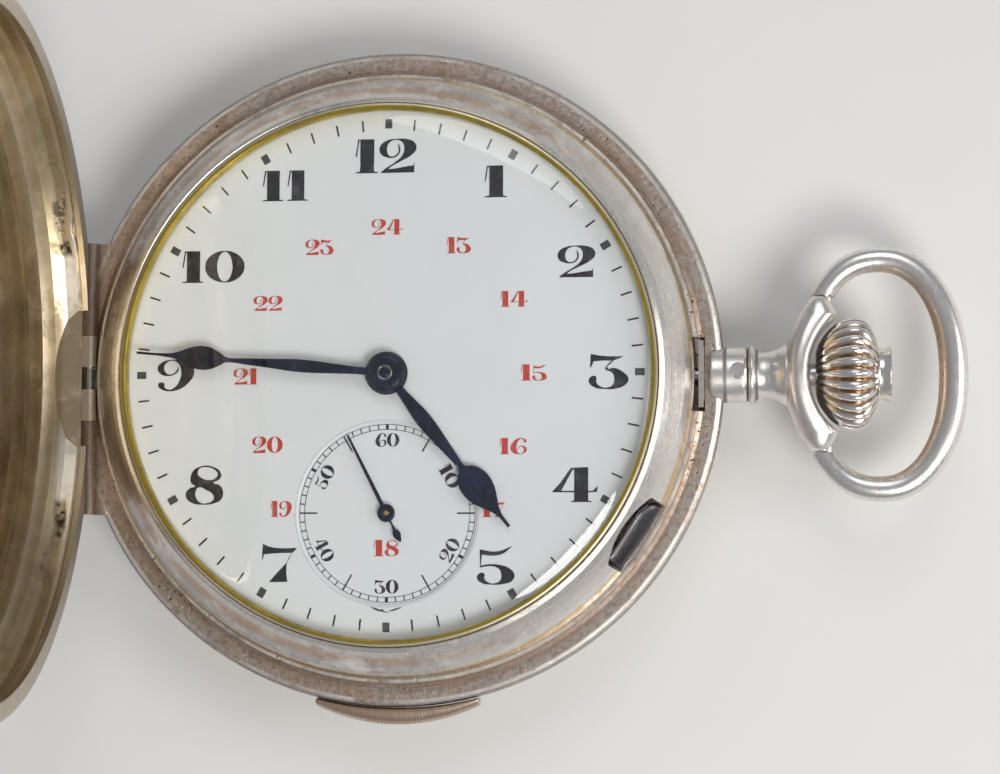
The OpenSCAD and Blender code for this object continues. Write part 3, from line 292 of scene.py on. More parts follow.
for name, spot, size, watts, colour in studio["lamps"]:
    lampData = bpy.data.lights.new(name, "AREA")
    lampData.shape = "DISK"
    lampData.size = size
    lampData.energy = watts
    lampData.color = colour
    lamp = addObject(name, lampData)
    lamp.location = spot
    lamp.rotation_euler = (Vector((0, 0, 0.01)) - Vector(spot)).to_track_quat("-Z", "Y").to_euler()
bpy.context.scene.view_settings.view_transform = "Standard"
print("camera, table and lights ready")


# effects that several finishes share

def buildPatchGroup():
    # broad uneven patches, as tarnish and stains have
    takes = {"Vector": None, "Scale": 120.0, "Low": 0.45, "High": 0.65}
    tree, take, give = startGroup("patches", takes, ["Mask"])
    wide = noise(take["Vector"], take["Scale"], 7.0, 0.62)
    small = noise(take["Vector"], times(take["Scale"], 6.3), 4.0)
    both = plus(wide, times(minus(small, 0.5), 0.35))
    tree.links.new(ramp(both, take["Low"], take["High"]), give["Mask"])
    return tree


def buildPitGroup():
    # small dark pits of uneven size, thicker in some places
    takes = {"Vector": None, "Scale": 2600.0, "Size": 0.28, "Share": 0.5}
    tree, take, give = startGroup("pits", takes, ["Mask"])
    warp = put(tree, "TexNoise", {"Vector": take["Vector"], "Scale": 1800.0, "Detail": 2.0})
    shift = vectorMath("MULTIPLY", warp.outputs[1], (0.0006, 0.0006, 0.0006))
    spot = vectorMath("ADD", take["Vector"], shift)
    cell = put(tree, "TexVoronoi", {"Vector": spot, "Scale": take["Scale"], "Randomness": 1.0})
    grade = put(tree, "SeparateColor", {0: cell.outputs["Color"]}).outputs[0]
    size = times(take["Size"], plus(0.35, grade))
    hole = ramp(cell.outputs["Distance"], times(size, 0.55), size, 1.0, 0.0)
    where = noise(take["Vector"], 190.0, 3.0)
    chosen = ramp(where, minus(1.0, take["Share"]), minus(1.12, take["Share"]))
    tree.links.new(times(hole, chosen), give["Mask"])
    return tree


def buildScratchGroup():
    # hairline scratches in three directions
    tree, take, give = startGroup("scratches", {"Vector": None, "Scale": 900.0, "Width": 0.03}, ["Mask"])
    total = None
    for turn, stretch in ((0.4, 26.0), (1.7, 34.0), (2.75, 20.0)):
        feeds = {"Rotation": (0.3 * turn, 0.2 * turn, turn), "Scale": (1.0, 1.0 / stretch, 1.0)}
        turned = put(tree, "Mapping", {"Vector": take["Vector"], **feeds}).outputs[0]
        line = noise(turned, take["Scale"], 3.0, 0.7)
        mask = ramp(awayFrom(line, 0.5), 0.0, take["Width"], 1.0, 0.0)
        patch = noise(turned, 420.0 * turn, 1.0)
        mask = times(mask, ramp(patch, 0.5, 0.62))
        total = mask if total is None else most(total, mask)
    tree.links.new(total, give["Mask"])
    return tree


def buildRingGroup():
    # a soft ring at one radius round the Z axis of the vector, in metres
    takes = {"Vector": None, "Radius": 0.02, "Half": 0.001, "Soft": 0.0005}
    tree, take, give = startGroup("ring", takes, ["Mask", "Radius", "Angle"])
    part = axes(take["Vector"])
    square = plus(times(part[0], part[0]), times(part[1], part[1]))
    radius = calc("SQRT", square)
    away = awayFrom(radius, take["Radius"])
    edge = plus(take["Half"], take["Soft"])
    tree.links.new(ramp(away, take["Half"], edge, 1.0, 0.0), give["Mask"])
    tree.links.new(radius, give["Radius"])
    tree.links.new(calc("ARCTAN2", part[1], part[0]), give["Angle"])
    return tree


def buildTurnedGroup():
    # the fine rings that a lathe or polishing wheel leaves
    tree, take, give = startGroup("turnedLines", {"Radius": 0.02, "Pitch": 0.0001, "Angle": 0.0}, ["Height"])
    wave = over(take["Radius"], take["Pitch"])
    drift = times(take["Angle"], 0.3)
    tree.links.new(lineNoise(plus(wave, drift), 4.0, 0.7), give["Height"])
    return tree


patches, pits, scratches = buildPatchGroup(), buildPitGroup(), buildScratchGroup()
ring, turnedLines = buildRingGroup(), buildTurnedGroup()
print("shared effects ready")


def patchMask(spot, scale, low, high):
    return useGroup(patches, Vector=spot, Scale=scale, Low=low, High=high)[0]


def pitMask(spot, scale, size, share):
    return useGroup(pits, Vector=spot, Scale=scale, Size=size, Share=share)[0]


def scratchMask(spot, scale, width):
    return useGroup(scratches, Vector=spot, Scale=scale, Width=width)[0]


def ringMask(spot, radius, half, soft):
    # sizes in mm
    return useGroup(ring, Vector=spot, Radius=radius * mm, Half=half * mm, Soft=soft * mm)[0]


def turningMarks(around, pitch):
    return useGroup(turnedLines, Radius=around[1], Pitch=pitch, Angle=around[2])[0]


def startFinish(name, metallic, roughness, **sockets):
    # a plain finish to start from, its shader and the place on the piece
    finish = bpy.data.materials.new(name)
    finish.use_nodes = True
    tree = finish.node_tree
    shader = tree.nodes["Principled BSDF"]
    shader.inputs["Metallic"].default_value = metallic
    shader.inputs["Roughness"].default_value = roughness
    for key, value in sockets.items():
        shader.inputs[key.replace("_", " ")].default_value = value
    spot = put(tree, "TexCoord").outputs["Object"]
    return finish, shader, spot


def feed(value, shader, socket):
    owner(value).links.new(value, shader.inputs[socket])


def endFinish(shader, tint, rough, relief, depth, strength):
    feed(tint, shader, "Base Color")
    feed(rough, shader, "Roughness")
    bump = put(owner(relief), "Bump", {"Height": relief, "Distance": depth, "Strength": strength})
    feed(bump.outputs[0], shader, "Normal")


def turnedSpot(spot, centre=(0, 0, 0), turn=(0, 0, 0)):
    # the place measured from a piece's own axis, with that axis along Z
    moved = vectorMath("SUBTRACT", spot, Vector(centre) * mm)
    return turnVector(moved, turn)


# worn silver of the case, with tarnish, pits and turning marks; on the band and bezel the bright edge rings
# are worn polish with painted highlight, and the grey rings are painted dark reflection
caseSilver = {
    "clean": (0.8, 0.78, 0.75, 1), "shade": (0.62, 0.56, 0.51, 1), "pinkish": (0.66, 0.53, 0.44, 1),
    "tarnish": (0.42, 0.285, 0.2, 1), "pit": (0.07, 0.05, 0.04, 1), "yellow": (0.52, 0.4, 0.2, 1),
    "bright": (0.95, 0.9, 0.82, 1), "grey": (0.36, 0.36, 0.37, 1), "dark": (0.2, 0.15, 0.12, 1),
}

# scale and thresholds of each effect
silverMarks = {
    "broad": (80.0, 0.34, 0.7), "stain": (330.0, 0.47, 0.72), "hair": (700.0, 0.022),
    "broken": (210.0, 0.3, 0.56), "pitScale": 2300.0, "speckScale": 6100.0, "pitch": 0.07 * mm,
    "tubeHalf": (0.0113, 0.0122),
}


def silverFinish(name, roughness, base="clean", pitShare=0.3, bands=(), pitSize=0.2, pitRing=None,
                 tarnish=0.5, paintedLitSide=None, hingeX=None, grain=0.25):
    # bands are (radius, half width, soft edge, strength, colour) in mm; pitRing keeps the pits near
    # one radius; towards paintedLitSide, in degrees, the silver is painted lighter and less tarnished, as
    # painted light
    finish, shader, spot = startFinish(name, 1.0, roughness)
    around = useGroup(ring, Vector=spot)
    broad = patchMask(spot, *silverMarks["broad"])
    stain = patchMask(spot, *silverMarks["stain"])
    hole = pitMask(spot, silverMarks["pitScale"], pitSize, pitShare)
    speck = pitMask(spot, silverMarks["speckScale"], pitSize * 0.9, min(pitShare + 0.18, 1.0))
    hair = scratchMask(spot, *silverMarks["hair"])
    turning = turningMarks(around, silverMarks["pitch"])
    patchStrength = tarnish
    # painted light: the shade patches, tarnish and grey reflection bands fade towards the lit side
    if paintedLitSide is not None:
        turned = minus(around[2], math.radians(paintedLitSide))
        away = minus(0.5, times(calc("COSINE", turned), 0.5))
        patchStrength = times(ramp(away, 0.05, 0.5, 0.12, 1.0), tarnish)
    tint = mixColour(times(broad, patchStrength), caseSilver[base], caseSilver["shade"])
    tint = lay(tint, caseSilver["tarnish"], stain, patchStrength)
    fine = noise(spot, 2600.0, 5.0, 0.7)
    tint = mixColour(ramp(fine, 0.42, 0.68, 0.0, grain), tint, caseSilver["dark"])
    tint = mixColour(ramp(turning, 0.5, 0.75, 0.0, 0.25), tint, caseSilver["shade"])
    rough = plus(roughness, times(stain, 0.12))
    for radius, half, soft, strength, colour in bands:
        mask = ringMask(spot, radius, half, soft)
        broken = patchMask(spot, *silverMarks["broken"])
        mask = times(times(mask, strength), broken)
        if paintedLitSide is not None and colour in ("tarnish", "grey"):
            mask = times(mask, over(patchStrength, tarnish))
        tint = mixColour(mask, tint, caseSilver[colour])
    if pitRing:
        near = ringMask(spot, *pitRing, 0.5)
        hole = times(hole, plus(times(near, 0.9), 0.1))
    if hingeX is not None:  # the hinge tubes are browner
        part = axes(spot)
        tubes = ramp(part[0], (hingeX + 0.3) * mm, (hingeX + 1.4) * mm, 0.85, 0.0)
        reach = calc("ABSOLUTE", part[1])
        tubes = times(tubes, ramp(reach, *silverMarks["tubeHalf"], 1.0, 0.0))
        tint = mixColour(tubes, tint, caseSilver["dark"])
    dark = most(hole, times(speck, 0.55))
    tint = lay(tint, caseSilver["pit"], dark, 0.85)
    tint = lay(tint, caseSilver["bright"], hair, 0.12)
    rough = plus(rough, times(dark, 0.25))
    rough = plus(rough, times(minus(turning, 0.5), 0.16))
    relief = minus(times(turning, 0.12), dark)
    relief = minus(plus(relief, times(fine, grain)), times(hair, 0.2))
    endFinish(shader, tint, rough, relief, 0.03 * mm, 0.7)
    return finish


# band: the bright edge rings are worn polish with painted highlight; the grey ring on the outer side is
# painted dark reflection
bandRings = (
    (25.35, 0.25, 0.3, 0.6, "tarnish"), (24.88, 0.1, 0.1, 0.9, "bright"), (26.55, 0.1, 0.12, 0.9, "bright"),
    (26.98, 0.14, 0.2, 0.85, "grey"),
)
# bezel: the bright inner edge ring is worn polish with painted highlight; the grey ring is painted dark
# reflection
bezelRings = (
    (22.2, 0.1, 0.2, 0.8, "bright"), (23.2, 0.2, 0.35, 0.75, "tarnish"), (23.85, 0.2, 0.3, 0.7, "grey"),
    (24.5, 0.14, 0.2, 0.8, "yellow"),
)
backRings = ((25.6, 0.3, 0.5, 0.6, "tarnish"), (26.45, 0.12, 0.15, 0.8, "bright"))
bandSilver = silverFinish("bandSilver", 0.36, "pinkish", 0.5, bandRings, pitSize=0.32, pitRing=(25.5, 0.6),
                          tarnish=0.85, hingeX=-25.7, grain=0.6)
bezelSilver = silverFinish("bezelSilver", 0.27, "clean", 0.2, bezelRings, pitSize=0.15, pitRing=(24.4, 0.4),
                           tarnish=0.75, paintedLitSide=-12, grain=0.15)
backSilver = silverFinish("backSilver", 0.27, bands=backRings, tarnish=0.28)

# polished silver of the pendant, bow and crown
# the dirt colour also paints the shade in grooves and hollows
brightSilver = {
    "clean": (0.83, 0.815, 0.79, 1), "shade": (0.64, 0.58, 0.52, 1), "brown": (0.45, 0.3, 0.19, 1),
    "dirt": (0.1, 0.07, 0.05, 1),
}

polishedMarks = {
    "broad": (230.0, 0.42, 0.64), "fine": (1300.0, 0.56, 0.7), "hair": (1100.0, 0.02),
    "speck": (5200.0, 0.2, 0.4), "streakTurn": 0.0045,
}


def polishedFinish(name, centre, turn, roughness=0.2, dirtAndShadeBands=(), tarnish=0.45, hollows=None,
                   oval=None, streaks=0.0):
    # hollows names the piece's own attribute: above 0 in a hollow, below 0 on a worn edge
    finish, shader, spot = startFinish(name, 1.0, roughness)
    flat = spot
    spot = turnedSpot(spot, centre, turn)
    broad = patchMask(spot, *polishedMarks["broad"])
    fine = patchMask(spot, *polishedMarks["fine"])
    hair = scratchMask(spot, *polishedMarks["hair"])
    speck = pitMask(spot, *polishedMarks["speck"])
    tint = mixColour(times(broad, tarnish), brightSilver["clean"], brightSilver["shade"])
    tint = lay(tint, brightSilver["shade"], fine, 0.3)
    dark = times(speck, 0.4)
    height = axes(spot)[2]
    for level, half, soft, strength in dirtAndShadeBands:  # dirt and painted shade in the mouldings, by height along the axis
        away = awayFrom(height, level * mm)
        mask = times(ramp(away, half * mm, (half + soft) * mm, 1.0, 0.0), strength)
        dark = most(dark, mask)
    if oval:  # brown on the inner side of the bow, inside an oval (centre, half width, half height)
        moved = vectorMath("SUBTRACT", flat, Vector((oval[0], 0, 0)) * mm)
        scaled = vectorMath("MULTIPLY", moved, (1 / (oval[1] * mm), 1 / (oval[2] * mm), 0))
        reach = put(owner(scaled), "VectorMath", {0: scaled}, operation="LENGTH").outputs["Value"]
        brown = times(ramp(reach, 0.86, 0.99, 1.0, 0.0), 0.75)
        tint = mixColour(brown, tint, brightSilver["brown"])
    # hollows: brown patina, and in the deepest hollows dirt and painted shade
    if hollows:
        hollow = put(finish.node_tree, "Attribute", attribute_name=hollows).outputs["Fac"]
        tint = mixColour(ramp(hollow, 0.05, 0.5, 0.0, 0.85), tint, brightSilver["brown"])
        dark = most(dark, ramp(hollow, 0.6, 1.0, 0.0, 0.8))
    if streaks:  # fine marks across the edge, by the angle round the axis
        turned = useGroup(ring, Vector=spot)[2]
        streak = lineNoise(over(turned, polishedMarks["streakTurn"]), 4.0, 0.75)
        tint = mixColour(ramp(streak, 0.45, 0.62, 0.0, streaks), tint, brightSilver["brown"])
    # dark specks, and the dirt and painted shade of grooves and hollows
    tint = mixColour(dark, tint, brightSilver["dirt"])
    rough = plus(roughness, times(broad, 0.09))
    rough = plus(rough, times(dark, 0.3))
    rough = plus(rough, times(hair, 0.08))
    relief = minus(times(fine, 0.1), times(plus(hair, dark), 0.14))
    endFinish(shader, tint, rough, relief, 0.02 * mm, 0.5)
    return finish


# the pendant, bow and crown lie along X at this height
axisHeight = 6.4
stemPlace = ((0, 0, axisHeight), (0, math.radians(-90), 0))
upright = ((0, 0, 0), (0, 0, 0))
# dark bands in the neck's mouldings: dirt and painted shade
neckDirtAndShade = ((28.87, 0.03, 0.08, 0.9), (29.6, 0.05, 0.12, 0.7), (27.05, 0.05, 0.2, 0.7))
pendantSilver = polishedFinish("pendantSilver", *stemPlace, 0.28, neckDirtAndShade, hollows="hollow")
bowSilver = polishedFinish("bowSilver", *stemPlace, 0.26, tarnish=0.5, oval=(39.5, 5.75, 9.2))
crownSilver = polishedFinish("crownSilver", *stemPlace, 0.19, tarnish=0.5, hollows="hollow")
capSilver = polishedFinish("capSilver", *stemPlace, tarnish=0.7)
slideSilver = polishedFinish("slideSilver", *upright, 0.3, tarnish=1.0, hollows="hollow", streaks=0.75)
# a dark band for the catch's recess: dirt and painted shade
catchDirtAndShade = ((25.6, 0.9, 0.3, 0.75),)
catchSilver = polishedFinish("catchSilver", *upright, 0.3, catchDirtAndShade, tarnish=1.0, streaks=0.6)
print("silver finishes ready")


# front cover: gilt-brown inside, satin silver outside
coverInside = {
    "gilt": (0.54, 0.43, 0.26, 1), "brown": (0.28, 0.21, 0.12, 1), "silver": (0.66, 0.61, 0.53, 1),
    "black": (0.018, 0.015, 0.013, 1), "outside": (0.8, 0.78, 0.75, 1), "dull": (0.6, 0.55, 0.5, 1),
    "edge": (0.6, 0.54, 0.47, 1),
}
frontHinge = {"x": -25.7, "z": 7.65, "open": 88, "flange": 8.0}
hingeLine = Vector((frontHinge["x"], 0, frontHinge["z"])) * mm

# line and lip are the black tarnish: height over the flange, half width and soft end, in m
coverMarks = {
    "broad": (90.0, 0.34, 0.68), "stain": (420.0, 0.5, 0.72), "hole": (2100.0, 0.26, 0.36),
    "rub": (300.0, 0.46, 0.54), "rim": (26.4, 0.6, 0.3), "pitch": 0.13 * mm, "ringPitch": 1.3 * mm,
    "line": (0.0014, 0.00025, 0.0005), "lip": (0.00045, 0.00004, 0.00014),
}


def coverFinish():
    finish, shader, spot = startFinish("coverInside", 1.0, 0.3)
    # back to the closed place, where the cover's axis is the watch's axis
    opened = (0, math.radians(frontHinge["open"]), 0)
    moved = vectorMath("SUBTRACT", spot, hingeLine)
    spot = vectorMath("ADD", turnVector(moved, opened), hingeLine)
    normal = put(finish.node_tree, "TexCoord").outputs["Normal"]
    facing = turnVector(normal, opened, "VECTOR")
    outside = ramp(axes(facing)[2], -0.05, 0.1)
    around = useGroup(ring, Vector=spot)
    part = axes(spot)
    broad = patchMask(spot, *coverMarks["broad"])
    stain = patchMask(spot, *coverMarks["stain"])
    hole = pitMask(spot, *coverMarks["hole"])
    turning = turningMarks(around, coverMarks["pitch"])
    tint = mixColour(times(broad, 0.8), coverInside["gilt"], coverInside["brown"])
    rings = lineNoise(over(around[1], coverMarks["ringPitch"]))
    tint = mixColour(ramp(rings, 0.42, 0.72, 0.0, 0.45), tint, coverInside["silver"])
    tint = lay(tint, coverInside["brown"], stain, 0.5)
    level = minus(part[2], frontHinge["flange"] * mm)
    low = ramp(level, 0.0007, 0.0011, 1.0, 0.0)
    sideways = calc("ABSOLUTE", part[1])
    # the flat over the hinge is silver again
    flat = ramp(sideways, 0.0098, 0.0106, 1.0, 0.0)
    flat = times(flat, ramp(level, 0.0018, 0.0024, 1.0, 0.0))
    flat = times(flat, ramp(part[0], -0.0242, -0.0236, 1.0, 0.0))
    tint = lay(tint, coverInside["silver"], flat, 0.8)
    edge = ringMask(spot, *coverMarks["rim"])
    tint = lay(tint, coverInside["edge"], times(edge, low), 0.8)
    worn = mixColour(times(broad, 0.6), coverInside["outside"], coverInside["dull"])
    worn = mixColour(times(stain, 0.35), worn, coverInside["brown"])
    tint = mixColour(outside, tint, worn)
    # black tarnish in the corner between wall and rim, thickest towards the hinge
    wander = noise(spot, 230.0)
    shifted = plus(level, times(minus(wander, 0.5), 0.0016))
    middle, *edges = coverMarks["line"]
    line = ramp(awayFrom(shifted, middle), *edges, 1.0, 0.0)
    middle, *edges = coverMarks["lip"]
    lip = ramp(awayFrom(shifted, middle), *edges, 0.9, 0.0)
    byHinge = ramp(sideways, 0.011, 0.0215, 1.0, 0.0)
    lip = times(lip, ramp(awayFrom(sideways, 0.012), 0.001, 0.004, 1.0, 0.0))
    line = times(most(line, lip), byHinge)
    inner = ramp(around[1], 0.0235, 0.0245)
    rub = patchMask(spot, *coverMarks["rub"])
    line = times(times(line, inner), minus(1.0, times(rub, 0.6)))
    line = times(line, minus(1.0, most(outside, flat)))
    black = most(line, times(hole, 0.6))
    tint = lay(tint, coverInside["black"], black, 0.95)
    rough = plus(0.26, times(plus(stain, black), 0.2))
    rough = plus(rough, times(turning, 0.1))
    relief = minus(times(turning, 0.2), black)
    endFinish(shader, tint, rough, relief, 0.04 * mm, 0.8)
    return finish


coverGilt = coverFinish()


# fired enamel, gilt ring and glass
dialWhite = {"white": (0.8, 0.82, 0.835, 1), "shade": (0.75, 0.775, 0.79, 1), "dust": (0.5, 0.47, 0.42, 1)}

enamelMarks = {"broad": (60.0, 0.35, 0.7), "speck": (1500.0, 0.07, 0.38)}


def enamelFinish():
    finish, shader, spot = startFinish("dialEnamel", 0.0, 0.12, Specular_IOR_Level=0.55,
                                       Coat_Weight=0.5, Coat_Roughness=0.05)
    broad = patchMask(spot, *enamelMarks["broad"])
    speck = pitMask(spot, *enamelMarks["speck"])
    tint = mixColour(times(broad, 0.6), dialWhite["white"], dialWhite["shade"])
    tint = lay(tint, dialWhite["dust"], speck, 0.5)
    wave = noise(spot, 900.0)
    endFinish(shader, tint, ramp(wave, 0.3, 0.8, 0.09, 0.16), wave, 0.01 * mm, 0.35)
    return finish


giltMarks = {
    "broad": (240.0, 0.4, 0.66), "speck": (3300.0, 0.22, 0.32), "pitch": 0.06 * mm,
    "rubbed": (0.6, 0.56, 0.5, 1), "dirt": (0.06, 0.045, 0.02, 1),
}


def giltFinish(name, clean, dull, roughness, centre=(0, 0, 0), grain=0.0, wornRing=None):
    finish, shader, spot = startFinish(name, 1.0, roughness)
    spot = turnedSpot(spot, centre)
    around = useGroup(ring, Vector=spot)
    broad = patchMask(spot, *giltMarks["broad"])
    turning = turningMarks(around, giltMarks["pitch"])
    speck = pitMask(spot, *giltMarks["speck"])
    frost = noise(spot, 21000.0, 3.0)
    tint = mixColour(times(broad, 0.7), clean, dull)
    if wornRing:  # the gilding is rubbed to silver on one band (radius, half width)
        rubbed = ringMask(spot, *wornRing, 0.08)
        tint = lay(tint, giltMarks["rubbed"], rubbed, 0.8)
    tint = lay(tint, giltMarks["dirt"], speck, 0.6)
    rough = plus(roughness, times(broad, 0.12))
    rough = plus(rough, times(turning, 0.07))
    relief = plus(times(turning, 0.25 * (1 - grain)), times(frost, grain))
    relief = minus(relief, times(speck, 0.5))
    endFinish(shader, tint, rough, relief, 0.02 * mm, 0.8)
    return finish


glassMarks = {"smear": (150.0, 0.5, 0.8), "hair": (500.0, 0.01)}


def glassFinish():
    finish, shader, spot = startFinish("watchGlass", 0.0, 0.02, Transmission_Weight=1.0, IOR=1.45)
    smear = patchMask(spot, *glassMarks["smear"])
    hair = scratchMask(spot, *glassMarks["hair"])
    tint = mixColour(smear, (1, 1, 1, 1), (0.975, 0.985, 0.985, 1))
    rough = plus(times(smear, 0.02), times(hair, 0.05))
    endFinish(shader, tint, rough, hair, 0.004 * mm, 0.25)
    tree = finish.node_tree
    clear = put(tree, "BsdfTransparent", {"Color": (0.97, 0.98, 0.98, 1)})
    path = put(tree, "LightPath")
    through = most(path.outputs["Is Shadow Ray"], path.outputs["Is Diffuse Ray"])
    mix = put(tree, "MixShader", {0: through, 1: shader.outputs[0], 2: clear.outputs[0]})
    tree.links.new(mix.outputs[0], tree.nodes["Material Output"].inputs["Surface"])
    return finish


dialEnamel, watchGlass = enamelFinish(), glassFinish()
rimGilt = giltFinish("rimGilt", (0.54, 0.41, 0.08, 1), (0.28, 0.21, 0.06, 1), 0.26, wornRing=(21.88, 0.12))
cuvetteGilt = giltFinish("cuvetteGilt", (0.68, 0.6, 0.43, 1), (0.5, 0.42, 0.28, 1), 0.2)
plateGilt = giltFinish("plateGilt", (0.72, 0.57, 0.27, 1), (0.55, 0.42, 0.19, 1), 0.36, grain=0.9)
print("cover, dial, glass and gilt finishes ready")


steelMarks = {"broad": (420.0, 0.42, 0.64), "hair": (1600.0, 0.03), "turning": 0.3, "pitch": 0.05 * mm}


def steelFinish(name, base, tone, roughness, metallic=1.0, patchStrength=0.3, **sockets):
    # polished or blued steel, with rubbed spots
    finish, shader, spot = startFinish(name, metallic, roughness, **sockets)
    around = useGroup(ring, Vector=spot)
    broad = patchMask(spot, *steelMarks["broad"])
    hair = scratchMask(spot, *steelMarks["hair"])
    lines = turningMarks(around, steelMarks["pitch"])
    tint = mixColour(times(broad, patchStrength), base, tone)
    tint = lay(tint, tone, hair, 0.3)
    rough = plus(roughness, times(broad, 0.1))
    rough = plus(rough, times(hair, 0.12))
    relief = minus(times(lines, steelMarks["turning"]), times(hair, 0.3))
    endFinish(shader, tint, rough, relief, 0.01 * mm, 0.7)
    return finish


polishedSteel = steelFinish("polishedSteel", (0.56, 0.565, 0.58, 1), (0.4, 0.39, 0.39, 1), 0.22)
springSteel = steelFinish("springSteel", (0.3, 0.29, 0.3, 1), (0.5, 0.47, 0.45, 1), 0.3, patchStrength=0.8)
bluedSteel = steelFinish("bluedSteel", (0.035, 0.05, 0.2, 1), (0.1, 0.09, 0.24, 1), 0.2, patchStrength=0.6)
handSteel = steelFinish("handSteel", (0.006, 0.008, 0.02, 1), (0.012, 0.018, 0.055, 1), 0.16, metallic=0.4,
                        patchStrength=0.9, Specular_IOR_Level=0.4)
leverSteel = steelFinish("leverSteel", (0.1, 0.098, 0.108, 1), (0.08, 0.07, 0.07, 1), 0.24, patchStrength=0.6)
screwSteel = steelFinish("screwSteel", (0.045, 0.06, 0.24, 1), (0.16, 0.15, 0.3, 1), 0.14, patchStrength=0.5)

# brass wheels, each with turning marks about its own arbor
wheelCentres = {
    "center_wheel": (0, 0), "third_wheel": (-5.066, -6.358), "fourth_wheel": (0, -11.25),
    "barrel": (6.504, 7.223), "minute_wheel": (-3.767, 2.175), "hour_wheel": (0, 0),
    "balance_wheel": (10.9, -9.5), "strike_wheel": (-4.858, -18.13),
}
wheelBrass = {
    name: giltFinish(name + "Brass", (0.7, 0.53, 0.24, 1), (0.52, 0.38, 0.16, 1), 0.2, (x, y, 0))
    for name, (x, y) in wheelCentres.items()
}

nodeFinishes = (
    (bandSilver, "band"), (bezelSilver, "bezel"), (backSilver, "back_cover"), (coverGilt, "front_cover"),
    (pendantSilver, "pendant pendant_plug"), (bowSilver, "bow"), (crownSilver, "crown"),
    (capSilver, "crown_cap"), (slideSilver, "repeater_slide"), (catchSilver, "lock_spring"),
    (rimGilt, "glass_rim"), (cuvetteGilt, "cuvette"), (watchGlass, "crystal"),
    (dialEnamel, "dial seconds_dial"), (handSteel, "hour_hand minute_hand seconds_hand"),
    (leverSteel, "setting_lever"), (springSteel, "lift_spring"),
    (bluedSteel, "hairspring hour_gong quarter_gong"), (screwSteel, "bridge_screws"),
    (plateGilt, "main_plate barrel_bridge train_bridge fork_bridge balance_cock"),
)
finishes = {name: finish for finish, names in nodeFinishes for name in names.split()}
finishes.update(wheelBrass)


def dress(piece, finish):
    piece.data.materials.clear()
    piece.data.materials.append(finish)


def fit(piece, finish, body):
    dress(piece, finish)
    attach(piece, body)


for name, node in cadNodes.items():
    dress(node, finishes.get(name, polishedSteel))
tableTone, tableShader, tableSpot = startFinish("paleTable", 0.0, 0.75)
tableCloud = noise(tableSpot, 24.0, 6.0)
tableTint = mixColour(ramp(tableCloud, 0.3, 0.7), studio["floorColour"], studio["floorCloud"])
feed(tableTint, tableShader, "Base Color")
# seen from below the table is clear, so the back can be looked at with its covers open
tableTree = tableTone.node_tree
tableSide = put(tableTree, "NewGeometry")
tableMix = put(tableTree, "MixShader", {0: tableSide.outputs["Backfacing"], 1: tableShader.outputs[0],
                                        2: put(tableTree, "BsdfTransparent").outputs[0]})
tableTree.links.new(tableMix.outputs[0], tableTree.nodes["Material Output"].inputs["Surface"])
dress(floor, tableTone)
print("every node has its finish")


# print on the dials: flat figures and marks, in mm; tens, fives and ones are the marks of the
# seconds dial as radius, length and width
dialPrint = {
    "level": 10.612, "secondsLevel": 10.412, "thick": 0.02, "secondsPlace": (0.0, -11.25),
    "black": (0.012, 0.012, 0.016, 1), "grey": (0.055, 0.055, 0.06, 1), "red": (0.52, 0.055, 0.035, 1),
    "ticks": {"radius": 20.3, "long": 0.9, "wide": 0.14},
    "blocks": {"radius": 20.38, "long": 0.76, "wide": 0.58}, "tens": (6.95, 0.4, 0.24),
    "fives": (6.43, 1.45, 0.12), "ones": (6.95, 0.42, 0.09),
    "rings": {"secondsInnerLine": (6.72, 6.77), "secondsOuterLine": (7.13, 7.18)},
    "secondsFigures": {"radius": 5.9, "wide": 1.95, "high": 1.1},
}
figureHeight = 100.0
